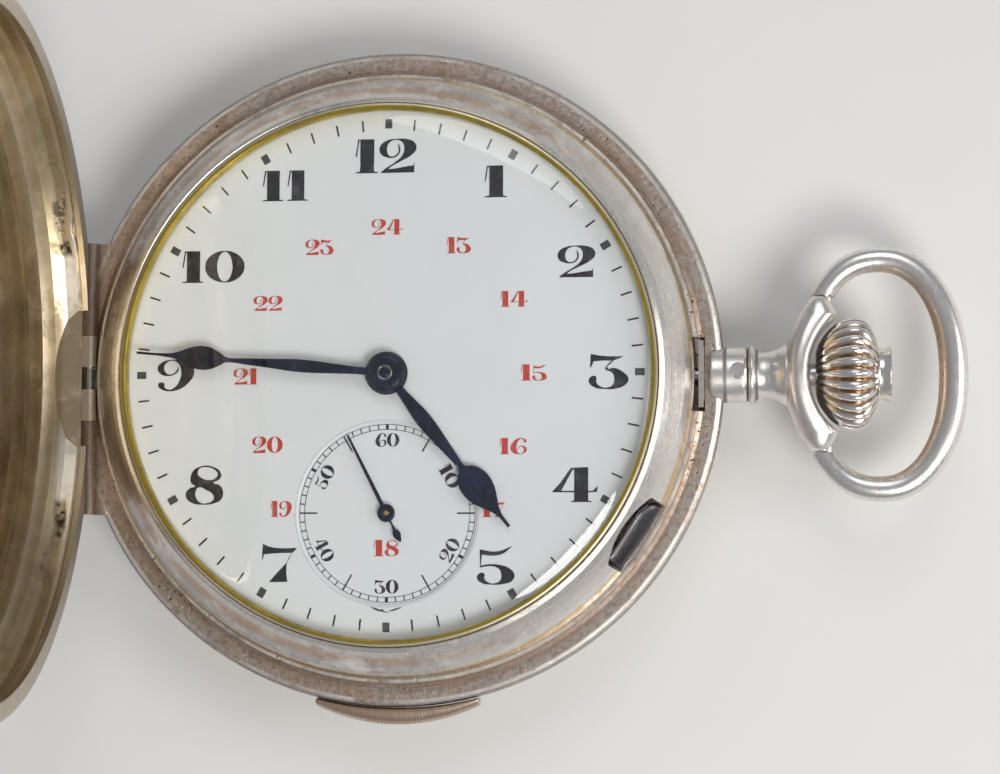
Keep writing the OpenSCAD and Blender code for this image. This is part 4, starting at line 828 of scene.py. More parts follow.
# outlines at that height: width, then loops; a third number is a sharp corner
figureShapes = {
    "1": (71, [
        (0, 0, 1), (71, 0, 1), (71, 3, 1), (59, 5, 1), (59, 100, 1), (8, 100, 1), (0, 49, 1), (4, 49, 1),
        (12, 96, 1), (15, 96, 1), (15, 5, 1), (0, 3, 1),
    ]),
    "2": (119, [
        (57.5, 100), (26, 96), (6, 84), (0, 70), (6, 54), (23, 46), (42, 44), (57.5, 50), (66, 64),
        (64, 79), (59, 87.5, 1), (60, 76), (61, 64), (54, 53), (40, 48), (29, 52.5), (24, 67), (27.5, 84),
        (39, 94), (56, 97), (73, 89), (79, 70), (72, 50), (48, 30), (23, 15), (6, 3, 1), (6, 0, 1),
        (111, 0, 1), (111, 32, 1), (109, 21, 1), (79, 17), (50, 12.5), (28, 11, 1), (39, 19), (73, 36),
        (101, 51), (117, 69), (114, 86), (95, 97),
    ]),
    "3": (113, [
        (7, 100, 1), (44, 94), (99, 93, 1), (54, 60), (72, 60), (99, 47), (113, 28), (103, 11), (78, 1),
        (47, 0), (17, 5), (2, 19), (2, 29), (11, 37), (21, 36), (23, 19), (33, 8), (51, 4), (68, 11),
        (73, 28), (68, 45), (49, 55), (47, 58, 1), (71, 80, 1), (44, 81), (15, 79, 1), (8, 62, 1),
        (5, 62, 1),
    ]),
    "4": (131, [
        (1, 30, 1), (23, 54, 1), (54, 98, 1), (103, 100, 1), (103, 32, 1), (115, 32, 1), (130, 46, 1),
        (128, 29, 1), (103, 28, 1), (103, 4, 1), (112, 3, 1), (112, 0, 1), (54, 0, 1), (54, 3, 1),
        (63, 4, 1), (63, 28, 1), (1, 28, 1),
    ], [
        (59, 93, 1), (63, 93, 1), (63, 32, 1), (26, 32, 1),
    ]),
    "5": (98, [
        (11, 91, 1), (50, 86), (93, 100, 1), (67, 80), (37, 75), (14, 78, 1), (11, 49, 1), (32, 53),
        (61, 51), (84, 43), (98, 27), (93, 11), (71, 2), (40, 0), (11, 5), (1, 17), (5, 27), (13, 31),
        (21, 26), (20, 17), (30, 6), (45, 3), (61, 11), (64, 27), (56, 42), (35, 48), (9, 44, 1),
        (8, 90, 1),
    ]),
    "7": (92, [
        (2, 100, 1), (24, 92), (54, 89), (92, 90, 1), (69, 61), (64, 31), (67, 1, 1), (19, 0, 1), (42, 27),
        (66, 53), (79, 77, 1), (42, 76), (5, 73, 1), (2, 60, 1), (0, 60, 1),
    ]),
    "8": (99.5, [
        (50, 100), (73, 96), (89, 85), (92, 72), (80, 60), (73, 57), (88, 50), (97, 35), (93, 14), (73, 3),
        (47, 0), (16, 5), (1, 21), (4, 35), (16, 44), (24, 46), (15, 55), (13, 70), (22, 89), (37, 97),
    ], [
        (55, 96), (72, 91), (83, 78), (75, 66), (63, 63), (42, 68), (31, 81), (37, 93),
    ], [
        (34, 44), (55, 37), (70, 27), (72, 13), (57, 4), (39, 5), (28, 17), (26, 32),
    ]),
    "9": (117, [
        (41, 99), (17, 92), (1, 73), (11, 54), (33, 48), (54, 53), (67, 67), (64, 79, 1), (62, 67),
        (51, 56), (36, 53), (25, 61), (21, 75), (29, 90), (45, 96), (64, 89), (75, 64), (70, 33), (51, 9),
        (36, 5), (23, 13), (23, 23), (15, 28), (6, 26), (3, 18), (14, 6), (39, 0), (70, 6), (98, 26),
        (115, 53), (111, 79), (89, 95), (64, 99),
    ]),
}
twelfths = [k * math.pi / 6 for k in range(12)]
ovals = [[(66 + wide * math.cos(a), 50 + high * math.sin(a)) for a in twelfths]
         for wide, high in ((66, 50), (25.5, 47))]
figureShapes["0"] = (132, *ovals)
wide, *loops = figureShapes["9"]
figureShapes["6"] = (wide, *[[(wide - p[0], figureHeight - p[1], *p[2:]) for p in loop] for loop in loops])
# text, centre x and y, width, height
hourFigures = [
    ("12", -0.2, 17.75, 5.05, 2.78), ("1", 8.78, 15.5, 1.83, 2.58), ("2", 15.34, 8.91, 3.06, 2.55),
    ("3", 17.88, 0.04, 3.21, 2.81), ("4", 15.21, -8.98, 3.68, 2.78), ("5", 8.84, -15.41, 3.04, 3.06),
    ("7", -8.74, -15.28, 2.89, 3.07), ("8", -15.0, -8.98, 3.2, 3.17), ("9", -17.52, -0.01, 3.11, 2.6),
    ("10", -14.48, 8.87, 5.2, 2.6), ("11", -8.55, 15.45, 3.75, 2.5),
]
afternoonFigures = [
    ("24", -0.09, 11.94, 2.58, 1.27), ("13", 5.8, 10.36, 1.96, 1.33), ("14", 10.3, 5.95, 2.2, 1.28),
    ("15", 11.9, 0.0, 2.1, 1.3), ("16", 10.25, -5.9, 2.2, 1.3), ("17", 8.65, -10.92, 1.85, 1.3),
    ("19", -8.63, -10.92, 1.72, 1.29), ("20", -9.83, -5.72, 2.52, 1.32), ("21", -11.7, -0.15, 2.02, 1.31),
    ("22", -9.88, 5.81, 2.41, 1.2), ("23", -5.65, 10.36, 2.35, 1.25),
]


def figureLoops(text, x, y, wide, high, turn=0.0):
    # the outlines of a number, scaled to its size and set about its middle
    gap = 15.0 if text == "11" else 5.0  # the two ones stand further apart
    span = sum(figureShapes[c][0] for c in text) + gap * (len(text) - 1)
    loops, start = [], 0.0
    cosine, sine = math.cos(math.radians(turn)), math.sin(math.radians(turn))
    for letter in text:
        for loop in figureShapes[letter][1:]:
            moved = []
            for point in loop:
                u = ((point[0] + start) / span - 0.5) * wide
                v = (point[1] / figureHeight - 0.5) * high
                moved.append((x + u * cosine - v * sine, y + u * sine + v * cosine, *point[2:]))
            loops.append(moved)
        start += figureShapes[letter][0] + gap
    return loops


def printFinish(name, colour):
    # fired paint: slightly uneven cover, worn thin in places
    finish, shader, spot = startFinish(name, 0.0, 0.3, Specular_IOR_Level=0.4)
    thin = patchMask(spot, 900.0, 0.45, 0.75)
    grain = noise(spot, 14000.0, 3.0)
    faded = tuple(0.8 * c + 0.12 for c in colour[:3]) + (1,)
    tint = lay(colour, faded, thin, 0.55)
    endFinish(shader, tint, ramp(grain, 0.3, 0.7, 0.22, 0.42), grain, 0.004 * mm, 0.6)
    return finish


blackPrint = printFinish("blackPrint", dialPrint["black"])
greyPrint = printFinish("greyPrint", dialPrint["grey"])
redPrint = printFinish("redPrint", dialPrint["red"])


def finishPrint(piece, finish):
    dress(piece, finish)
    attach(piece, "case")


def printMarks(name, marks, level, finish):
    # small bars: (radius, angle, length along the radius, width, centre)
    clearPicks()
    bpy.ops.mesh.primitive_cube_add(size=1)
    model = bpy.context.object
    bars = []
    for radius, angle, long, wide, centre in marks:
        bar = model.copy()
        bar.data = model.data.copy()
        bpy.context.scene.collection.objects.link(bar)
        a = math.radians(angle)
        x, y = centre[0] + radius * math.cos(a), centre[1] + radius * math.sin(a)
        bar.location = Vector((x, y, level)) * mm
        bar.rotation_euler = (0, 0, a)
        bar.scale = Vector((long, wide, dialPrint["thick"])) * mm
        bars.append(bar)
    bpy.data.objects.remove(model)
    finishPrint(settle(joinPieces(bars, name), name), finish)


def printFigures(name, figures, level, finish):
    parts = [flatCurve(name, figureLoops(*row), dialPrint["thick"], level) for row in figures]
    finishPrint(settle(joinPieces(parts, name), name), finish)


def printRing(name, inner, outer, centre, level, finish):
    low, high = level - dialPrint["thick"] / 2, level + dialPrint["thick"] / 2
    loop = [(inner, low), (outer, low), (outer, high), (inner, high), (inner, low)]
    finishPrint(turnPiece(name, loop, 144, centre=(*centre, 0)), finish)


level, lowLevel, middle = dialPrint["level"], dialPrint["secondsLevel"], dialPrint["secondsPlace"]
printFigures("hourNumbers", hourFigures, level, blackPrint)
printFigures("afternoonNumbers", afternoonFigures, level, redPrint)
printFigures("eighteenNumber", [("18", -0.04, -14.06, 2.05, 1.3)], lowLevel, redPrint)
tick, block = dialPrint["ticks"], dialPrint["blocks"]
minuteMarks = [(tick["radius"], 6 * k, tick["long"], tick["wide"], (0, 0)) for k in range(60) if k % 5]
printMarks("minuteTicks", minuteMarks, level, blackPrint)
fiveMarks = [(block["radius"], 30 * k, block["long"], block["wide"], (0, 0)) for k in range(12)]
printMarks("fiveMinuteBlocks", fiveMarks, level, greyPrint)
secondMarks = []
for k in range(60):
    radius, long, wide = dialPrint["ones" if k % 5 else "fives" if k % 10 else "tens"]
    secondMarks.append((radius, 90 - 6 * k, long, wide, middle))
printMarks("secondTicks", secondMarks, lowLevel, blackPrint)
for name, (inner, outer) in dialPrint["rings"].items():
    printRing(name, inner, outer, middle, lowLevel, greyPrint)
figure = dialPrint["secondsFigures"]
secondFigures = []
for text, turn in (("60", 0), ("10", -60), ("20", 60), ("30", 0), ("40", -60), ("50", 60)):
    a = math.radians(90 - 6 * (int(text) % 60))
    x, y = middle[0] + figure["radius"] * math.cos(a), middle[1] + figure["radius"] * math.sin(a)
    secondFigures.append((text, x, y, figure["wide"], figure["high"], turn))
printFigures("secondNumbers", secondFigures, lowLevel, blackPrint)
ornament = {
    "y": -18.95,
    "outline": [
        (-1.35, 0.22, 1), (-0.85, 0.1), (-0.42, -0.02), (-0.28, 0.02, 1), (-0.1, -0.16), (0.15, -0.19),
        (0.32, -0.08, 1), (0.5, -0.02), (0.95, 0.12), (1.35, 0.22, 1), (0.75, -0.08), (0.3, -0.16),
        (0.05, -0.26), (-0.25, -0.2), (-0.75, -0.1),
    ],
}
curlLoop = [(p[0], p[1] + ornament["y"], *p[2:]) for p in ornament["outline"]]
curl = flatCurve("dialCurl", [curlLoop], dialPrint["thick"], level)
finishPrint(settle(curl, "dialCurl"), greyPrint)
print("dial print ready")


# hands: bevelled outlines along +X, with turned hubs
hourHand = {
    "angle": -51.0, "level": 11.06, "thick": 0.2, "bevel": 0.06,
    "halves": [
        (1.3, 0.3), (2.0, 0.3), (3.2, 0.42), (4.6, 0.56), (5.6, 0.55), (7.2, 0.42), (8.8, 0.27),
        (9.75, 0.19), (9.95, 0.3, 1), (10.25, 0.72), (10.9, 1.1), (11.7, 1.22), (12.5, 1.08), (13.3, 0.72),
        (14.1, 0.3), (14.7, 0.12), (15.8, 0.07, 1),
    ],
    "hub": [
        (1.36, 10.96), (1.66, 10.96), (1.74, 11.0), (1.74, 11.1), (1.66, 11.16), (1.36, 11.16),
        (1.36, 10.96),
    ],
}
minuteHand = {
    "angle": 175.0, "level": 11.51, "thick": 0.18, "bevel": 0.05,
    "halves": [
        (1.2, 0.26), (2.4, 0.26), (4.4, 0.36), (6.4, 0.46), (7.6, 0.45), (9.4, 0.33), (11.4, 0.22),
        (12.9, 0.14), (13.3, 0.2, 1), (13.7, 0.46), (14.4, 0.8), (15.1, 0.92), (15.9, 0.82), (16.7, 0.5),
        (17.4, 0.22), (18.2, 0.1), (20.6, 0.05, 1),
    ],
}
secondsHand = {
    "angle": 117.0, "level": 10.78, "thick": 0.12, "bevel": 0.03, "centre": (0.0, -11.25),
    "halves": [(0.3, 0.13), (2.0, 0.115), (4.5, 0.09), (7.0, 0.055, 1)],
    "tail": [
        (0.3, 0.1), (1.25, 0.055), (1.5, 0.12, 1), (1.75, 0.25), (2.0, 0.29), (2.25, 0.2), (2.55, 0.03, 1),
    ],
    "hub": [
        (0.215, 10.72), (0.6, 10.72), (0.7, 10.77), (0.72, 10.84), (0.64, 10.9), (0.42, 10.93),
        (0.3, 10.92), (0.215, 10.88), (0.215, 10.72),
    ],
}


def handLoop(halves, backwards=False):
    sign = -1 if backwards else 1
    upper = [(sign * p[0], p[1], *p[2:]) for p in halves]
    lower = [(sign * p[0], -p[1], *p[2:]) for p in reversed(halves)]
    first, last = upper[0], lower[-1]
    upper[0], lower[-1] = (*first[:2], 1), (*last[:2], 1)
    return upper + lower


def makeHand(name, spec, hub, body):
    outlines = [handLoop(spec["halves"])]
    if "tail" in spec:
        outlines.append(handLoop(spec["tail"], True))
    blades = [flatCurve(name, [loop], spec["thick"], spec["level"], spec["bevel"]) for loop in outlines]
    centre = spec.get("centre", (0, 0))
    for blade in blades:
        blade.location = (centre[0] * mm, centre[1] * mm, spec["level"] * mm)
        blade.rotation_euler = (0, 0, math.radians(spec["angle"]))
        settle(blade, name)
        tidyMesh(blade)
    hubPiece = turnPiece(name, hub, 96, centre=(*centre, 0))
    piece = settle(joinPieces([*blades, hubPiece], name), name, 25)
    dress(piece, handSteel)
    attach(piece, body)
    return piece


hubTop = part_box("cannon_pinion")[1].z / mm + 0.02
minuteHub = [
    (0.62, hubTop), (0.62, hubTop + 0.05), (0.7, hubTop + 0.08), (1.15, hubTop + 0.06),
    (1.38, hubTop - 0.02), (1.52, 11.68), (1.6, 11.6), (1.62, 11.5), (1.6, 11.43), (0.98, 11.43),
    (0.98, hubTop), (0.62, hubTop),
]
bigHand = makeHand("minuteHandPear", minuteHand, minuteHub, "center")
smallHand = makeHand("hourHandPear", hourHand, hourHand["hub"], "hour")
thinHand = makeHand("secondsHandLeaf", secondsHand, secondsHand["hub"], "fourth")
for piece, node in ((bigHand, "minute_hand"), (smallHand, "hour_hand"), (thinHand, "seconds_hand")):
    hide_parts(node)
hubSteel = steelFinish("hubSteel", (0.33, 0.31, 0.3, 1), (0.12, 0.1, 0.09, 1), 0.2, patchStrength=0.7)
ringTop, arborLow = hubTop + 0.07, hubTop - 0.02
arborProfile = [
    (0.46, arborLow), (0.46, ringTop - 0.02), (0.49, ringTop), (0.55, ringTop + 0.01),
    (0.6, ringTop - 0.03), (0.61, arborLow), (0.46, arborLow),
]
fit(turnPiece("arborRing", arborProfile, 72), hubSteel, "center")
capTop = max(ringTop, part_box("center_wheel")[1].z / mm + 0.04)
capProfile = [
    (0, arborLow), (0.45, arborLow), (0.45, capTop - 0.04), (0.38, capTop - 0.01), (0.3, capTop),
    (0, capTop),
]
fit(turnPiece("arborCap", capProfile, 48), handSteel, "center")
pinBrass = giltFinish("pinBrass", (0.5, 0.36, 0.13, 1), (0.2, 0.13, 0.06, 1), 0.3)
brassProfile = [
    (0, 10.86), (0.2, 10.86), (0.2, 10.96), (0.15, 11.0), (0.08, 11.0), (0.06, 10.94), (0, 10.92),
]
brassPin = turnPiece("secondsPin", brassProfile, 40, centre=(*secondsHand["centre"], 0))
fit(brassPin, pinBrass, "fourth")
print("hands ready")


def markHollows(piece, reach, passes=3):
    # keeps on each point how hollow (above 0) or how worn its surface is there
    shape = bmesh.new()
    shape.from_mesh(piece.data)
    shape.normal_update()
    values = []
    for vertex in shape.verts:
        near = [edge.other_vert(vertex).co for edge in vertex.link_edges]
        middle = sum(near, Vector()) / len(near)
        long = sum((place - vertex.co).length_squared for place in near) / len(near)
        values.append((middle - vertex.co).dot(vertex.normal) / max(long, 1e-12) * reach * mm)
    links = [[edge.other_vert(vertex).index for edge in vertex.link_edges] for vertex in shape.verts]
    for _ in range(passes):
        values = [0.4 * value + 0.6 * sum(values[n] for n in near) / len(near)
                  for value, near in zip(values, links)]
    shape.free()
    keepHollows(piece, values)


def keepHollows(piece, values):
    mark = piece.data.attributes.new(name="hollow", type="FLOAT", domain="POINT")
    mark.data.foreach_set("value", values)


# crown with its ribs and button
crown = {
    "plainRadius": 1.1, "fullRadius": 3.6, "sharpUntil": 1.6, "sharpness": (1.5, 0.9), "dirt": (0.5, 0.72),
    "start": 34.3, "ribs": 27, "stepsPerRib": 12, "groove": 0.4,
    "profile": [
        (0, 0), (1.15, 0), (1.6, 0.01), (1.95, 0.08), (2.32, 0.22), (2.75, 0.44), (3.2, 0.74), (3.6, 1.07),
        (3.94, 1.45), (4.2, 1.85), (4.4, 2.28), (4.52, 2.72), (4.56, 3.1), (4.52, 3.48), (4.36, 3.87),
        (4.07, 4.21), (3.66, 4.5), (3.2, 4.73), (2.75, 4.9), (2.35, 4.98), (0, 5.0),
    ],
    "button": [
        (0, 4.99), (2.2, 4.99), (2.12, 5.1), (2.1, 5.3), (2.14, 5.55), (2.22, 5.75), (2.26, 5.88),
        (2.22, 5.99), (2.08, 6.04), (1.2, 6.08), (0, 6.1),
    ],
}
axis = (crown["start"], 0, axisHeight)
crownSteps = crown["ribs"] * crown["stepsPerRib"]
crownPiece = turnPiece("ribbedCrown", crown["profile"], crownSteps, along="X", centre=axis)
hollows = []
for vertex in crownPiece.data.vertices:
    y, z = vertex.co.y, vertex.co.z - axisHeight * mm
    radius = math.hypot(y, z)
    if radius < crown["plainRadius"] * mm:
        hollows.append(crown["dirt"][0])
        continue
    wave = abs(math.cos(math.atan2(z, y) * crown["ribs"] / 2))
    along = vertex.co.x / mm - crown["start"]
    # the ribs are sharper towards the pendant
    wave = wave ** crown["sharpness"][0 if along < crown["sharpUntil"] else 1]
    # the grooves run out towards both ends
    fade = min(1.0, 0.6 + along * 0.6, 0.35 + max(0.0, 5.0 - along) * 0.9)
    depth = crown["groove"] * fade * min(1.0, radius / mm / crown["fullRadius"]) * mm
    scale = (radius - depth * (1 - wave)) / radius
    vertex.co.y, vertex.co.z = y * scale, z * scale + axisHeight * mm
    # brown patina in the grooves between the ribs, and at their bottoms dirt and painted shade
    hollows.append((1 - wave) * crown["dirt"][1])
keepHollows(crownPiece, hollows)
settle(crownPiece, "ribbedCrown", 50)
dress(crownPiece, crownSilver)
button = turnPiece("crownButton", crown["button"], 120, along="X", centre=axis)
dress(button, capSilver)

# bow: a tapered wire on an oval path, cut flat where it meets the pendant
bow = {
    "centreX": 39.5, "radii": (5.78, 9.25), "fullness": (0.93, 0.85), "farWire": 1.17, "nearWire": 0.88,
    "sweep": 142, "taperTurn": 137, "cutY": 6.36, "cutReach": (38, 3), "pivot": (35.2, 0.45),
    "pin": {"y": 5.85, "long": 1.4, "bevel": 0.06},
}


def fullTurn(value, power):
    return math.copysign(abs(value) ** power, value)


wire = bpy.data.curves.new("bowWire", "CURVE")
wire.dimensions = "3D"
wire.bevel_depth = mm
wire.bevel_resolution = 10
wire.use_fill_caps = True
line = wire.splines.new("POLY")
line.points.add(120)
for k, knot in enumerate(line.points):
    turn = math.radians(bow["sweep"]) * (k / 60 - 1)
    share = min(1.0, abs(turn) / math.radians(bow["taperTurn"])) ** 1.5
    fullness = bow["fullness"][0 if math.cos(turn) > 0 else 1]
    across = bow["radii"][0] * fullTurn(math.cos(turn), fullness)
    up = bow["radii"][1] * fullTurn(math.sin(turn), fullness)
    knot.co = ((bow["centreX"] + across) * mm, up * mm, axisHeight * mm, 1)
    knot.radius = bow["farWire"] + (bow["nearWire"] - bow["farWire"]) * share
wirePiece = addObject("bowWire", wire)
pickOnly(wirePiece)
bpy.ops.object.convert(target="MESH")
tidyMesh(wirePiece)
for side in (1, -1):
    startEdit(wirePiece)
    bpy.ops.mesh.select_mode(type="VERT")
    bpy.ops.mesh.select_all(action="DESELECT")
    shape = bmesh.from_edit_mesh(wirePiece.data)
    for face in shape.faces:
        place = face.calc_center_median()
        if place.x < bow["cutReach"][0] * mm and place.y * side > bow["cutReach"][1] * mm:
            face.select_set(True)
    bmesh.update_edit_mesh(wirePiece.data)
    cutPlace = (bow["pivot"][0] * mm, side * bow["cutY"] * mm, axisHeight * mm)
    bpy.ops.mesh.bisect(plane_co=cutPlace, plane_no=(0, side, 0), use_fill=True, clear_inner=True)
    bpy.ops.object.mode_set(mode="OBJECT")
pins = []
for side in (1, -1):
    clearPicks()
    pinPlace = (bow["pivot"][0] * mm, side * bow["pin"]["y"] * mm, axisHeight * mm)
    bpy.ops.mesh.primitive_cylinder_add(
        vertices=40, radius=bow["pivot"][1] * mm, depth=bow["pin"]["long"] * mm, location=pinPlace,
        rotation=(math.pi / 2, 0, 0))
    pin = bpy.context.object
    bpy.ops.object.mode_set(mode="EDIT")
    bpy.ops.mesh.bevel(offset=bow["pin"]["bevel"] * mm, segments=2, affect="EDGES")
    bpy.ops.object.mode_set(mode="OBJECT")
    pins.append(pin)
bowPiece = settle(joinPieces([wirePiece, *pins], "wornBow"), "wornBow", 40)
dress(bowPiece, bowSilver)

# pendant: a turned neck and the crescent that carries the bow, cast in one
pendant = {
    "voxel": 0.075, "passes": 4, "stemHole": 1.06, "blunt": 9, "slope": 1.6,
    "neck": [
        (1.06, 25.9), (2.25, 25.9), (2.25, 28.6), (2.16, 28.75), (1.98, 28.84), (2.2, 28.95), (2.38, 29.08),
        (2.42, 29.22), (2.38, 29.36), (2.18, 29.5), (1.98, 29.66), (1.9, 29.95), (1.88, 30.3), (1.93, 30.7),
        (2.06, 31.1), (2.3, 31.5), (2.5, 31.9), (2.5, 32.6), (1.06, 32.6), (1.06, 25.9),
    ],
    "outer": (31.72, 2.05, 6.27), "inner": (34.12, 2.0, 4.75), "tip": (35.4, 6.22), "bend": 0.78,
    "height": (2.98, 1.75), "fullness": (0.88, 0.72),
    "crownRoom": [
        (0, 33.62), (1.7, 33.62), (2.05, 33.68), (2.42, 33.82), (2.85, 34.03), (3.3, 34.33), (3.7, 34.66),
        (4.04, 35.04), (4.3, 35.44), (4.5, 35.87), (4.62, 36.3), (4.7, 36.8), (4.7, 40), (0, 40),
    ],
}


def crescentEdges(share):
    # the outer and inner edge of the crescent in plan, share runs from -1 to 1
    side, reach = math.copysign(1, share), abs(share)
    startX, depth, half = pendant["outer"]
    outer = Vector((startX + depth * reach ** 2, side * half * reach, 0))
    startX, depth, half = pendant["inner"]
    bend = pendant["bend"]
    part = min(1.0, reach / bend)
    inner = Vector((startX + depth * part ** 2, side * half * part, 0))
    if reach > bend:
        tip = Vector((pendant["tip"][0], side * pendant["tip"][1], 0))
        inner = inner.lerp(tip, (reach - bend) / (1 - bend))
    return outer, inner


clearPicks()
bpy.ops.mesh.primitive_uv_sphere_add(segments=56, ring_count=60, radius=1, rotation=(math.pi / 2, 0, 0))
crescent = bpy.context.object
bpy.ops.object.transform_apply(location=True, rotation=True, scale=True)
for vertex in crescent.data.vertices:
    share = max(-1.0, min(1.0, vertex.co.y))
    ringSize = math.hypot(vertex.co.x, vertex.co.z)
    if ringSize > 1e-6:
        across, high = vertex.co.x / ringSize, vertex.co.z / ringSize
    else:
        across = high = 0.0
    outer, inner = crescentEdges(share)
    blunt = (1 - abs(share) ** pendant["blunt"]) ** (1 / pendant["blunt"])
    middle, half = (outer + inner) / 2, (inner - outer) / 2
    top, end = pendant["height"]
    rise = top + (end - top) * abs(share) ** pendant["slope"]
    fullness = pendant["fullness"][1 if across > 0 else 0]
    place = middle + half * fullTurn(across, fullness) * blunt
    place.z = axisHeight + rise * fullTurn(high, fullness) * blunt
    vertex.co = place * mm
tidyMesh(crescent)
axis = (0, 0, axisHeight)
hole = pendant["stemHole"]
crownRoom = turnPiece("crownRoom", pendant["crownRoom"], 72, along="X", centre=axis)
stemProfile = [(0, 25), (hole, 25), (hole, 40), (0, 40), (0, 25)]
stemRoom = turnPiece("stemRoom", stemProfile, 48, along="X", centre=axis)
for cutter in (crownRoom, stemRoom):
    addModifier(crescent, "BOOLEAN", operation="DIFFERENCE", object=cutter, solver="EXACT")
    bpy.data.objects.remove(cutter)
neck = turnPiece("neck", pendant["neck"], 96, along="X", centre=axis)
pendantPiece = joinPieces([neck, crescent], "wornPendant")
addModifier(pendantPiece, "REMESH", mode="VOXEL", voxel_size=pendant["voxel"] * mm)
addModifier(pendantPiece, "SMOOTH", factor=0.5, iterations=pendant["passes"])
settle(pendantPiece, "wornPendant", 60)
# the hollows get brown patina, the deepest also dirt and painted shade
markHollows(pendantPiece, 0.35)
dress(pendantPiece, pendantSilver)
pinProfile = [(0, 8.1), (0.46, 8.1), (0.46, 8.5), (0.4, 8.58), (0.2, 8.62), (0, 8.62)]
neckPin = turnPiece("neckPin", pinProfile, 40, centre=(31.1, 0.35, 0))
dress(neckPin, capSilver)
print("crown, bow and pendant ready")


# repeater slide: a lens-shaped thumb piece with worn fine serration; its ends round off from
# endFrom on, over endLong, and start at endHigh of the height
grip = {
    "middle": -89.4, "half": 14.2, "inner": 27.09, "bulge": 0.0037, "reach": 28.43, "teeth": 110,
    "toothDepth": 0.012, "toothFrom": 0.25, "toothRise": 3, "plainEnd": 0.9, "dirt": (0.28, 0.2, 0.3),
    "endFrom": 0.955, "endLong": 0.045, "endHigh": (0.85, 0.15),
    "profile": [
        (0, 5.6), (0.16, 5.47), (0.55, 5.45), (0.8, 5.55), (0.94, 5.8), (1.0, 6.15), (0.985, 6.5),
        (0.9, 6.8), (0.72, 7.03), (0.5, 7.18), (0.25, 7.25), (0.06, 7.24), (0, 7.12), (0, 5.6),
    ],
}
slidePiece = turnPiece("gripSlide", [(1 + r, z) for r, z in grip["profile"]], 420, sweep=2 * grip["half"])
startEdit(slidePiece)
bpy.ops.mesh.select_all(action="SELECT")
bpy.ops.mesh.fill_holes(sides=0)
bpy.ops.mesh.normals_make_consistent(inside=False)
bpy.ops.object.mode_set(mode="OBJECT")
turns = [math.atan2(v.co.y, v.co.x) for v in slidePiece.data.vertices]
lowTurn, highTurn = min(turns), max(turns)
hollows = []
for vertex, turn in zip(slidePiece.data.vertices, turns):
    share = math.hypot(vertex.co.x, vertex.co.y) / mm - 1
    degrees = (2 * (turn - lowTurn) / (highTurn - lowTurn) - 1) * grip["half"]
    reach = grip["reach"] - grip["bulge"] * degrees ** 2
    end = max(0.0, abs(degrees) / grip["half"] - grip["endFrom"]) / grip["endLong"]
    low, more = grip["endHigh"]
    reach = grip["inner"] + (reach - grip["inner"]) * (low + more * math.sqrt(max(0.0, 1 - end ** 2)))
    tooth = 0.5 + 0.5 * math.cos(degrees / grip["half"] * math.pi * grip["teeth"] / 2)
    radius = grip["inner"] + (reach - grip["inner"]) * share
    if abs(degrees) < grip["half"] * grip["plainEnd"]:
        rise = min(1.0, max(0.0, share - grip["toothFrom"]) * grip["toothRise"])
        radius -= grip["toothDepth"] * tooth * rise
    angle = math.radians(grip["middle"] + degrees)
    vertex.co.x, vertex.co.y = radius * math.cos(angle) * mm, radius * math.sin(angle) * mm
    # brown patina over the slide, more between the teeth; its inner side against the band also gets dirt and
    # painted shade
    base, between, root = grip["dirt"]
    hollows.append(base + between * tooth + (root if share < 0.1 else 0.0))
keepHollows(slidePiece, hollows)
tidyMesh(slidePiece, 1e-7)
settle(slidePiece, "gripSlide", 40)
dress(slidePiece, slideSilver)
print("slide ready")

# thin domed glass, held by a gilt ring
glass = {
    "profile": [
        (0, 13.3), (3.5, 13.28), (7, 13.2), (10, 13.08), (12.8, 12.95), (15.4, 12.76), (17.6, 12.57),
        (18.9, 12.43), (19.9, 12.29), (20.6, 12.15), (21.05, 12.0), (21.34, 11.84),
    ],
    "thick": 0.22,
}
under = [(r, z - glass["thick"]) for r, z in reversed(glass["profile"])]
glassPiece = turnPiece("thinGlass", glass["profile"] + under, 256)
dress(glassPiece, watchGlass)
ringProfile = [
    (21.37, 10.84), (21.9, 10.84), (21.93, 11.6), (21.9, 11.86), (21.8, 11.98), (21.64, 12.03),
    (21.5, 12.0), (21.42, 11.9), (21.37, 11.75), (21.37, 10.84),
]
ringPiece = turnPiece("giltRing", ringProfile, 256)
dress(ringPiece, rimGilt)
print("glass and ring ready")

# the setting lever: a polished half moon with a rounded back
lever = {
    "angle": -33, "half": 3.02, "inner": 22.86, "outer": 24.55, "steps": 16, "tipShift": 0.8, "thin": 0.04,
}


def leverLoop(shrink):
    # in plan: the case's curve outside, inside a curve that runs out to a narrow upper tip
    points = []
    half, count = lever["half"] - shrink, lever["steps"]
    for k in range(count + 1):
        y = -half + 2 * half * k / count
        points.append((math.sqrt((lever["outer"] - shrink * 0.6) ** 2 - y * y), y))
    for k in range(count + 1):
        y = half - 2 * half * k / count
        share = y / lever["half"]
        x = lever["inner"] + (lever["tipShift"] * (share * 2 - 1) ** 2 if share > 0.5 else 0.0)
        points.append((min(x + shrink, points[count - k][0] - lever["thin"]), y))
    return points


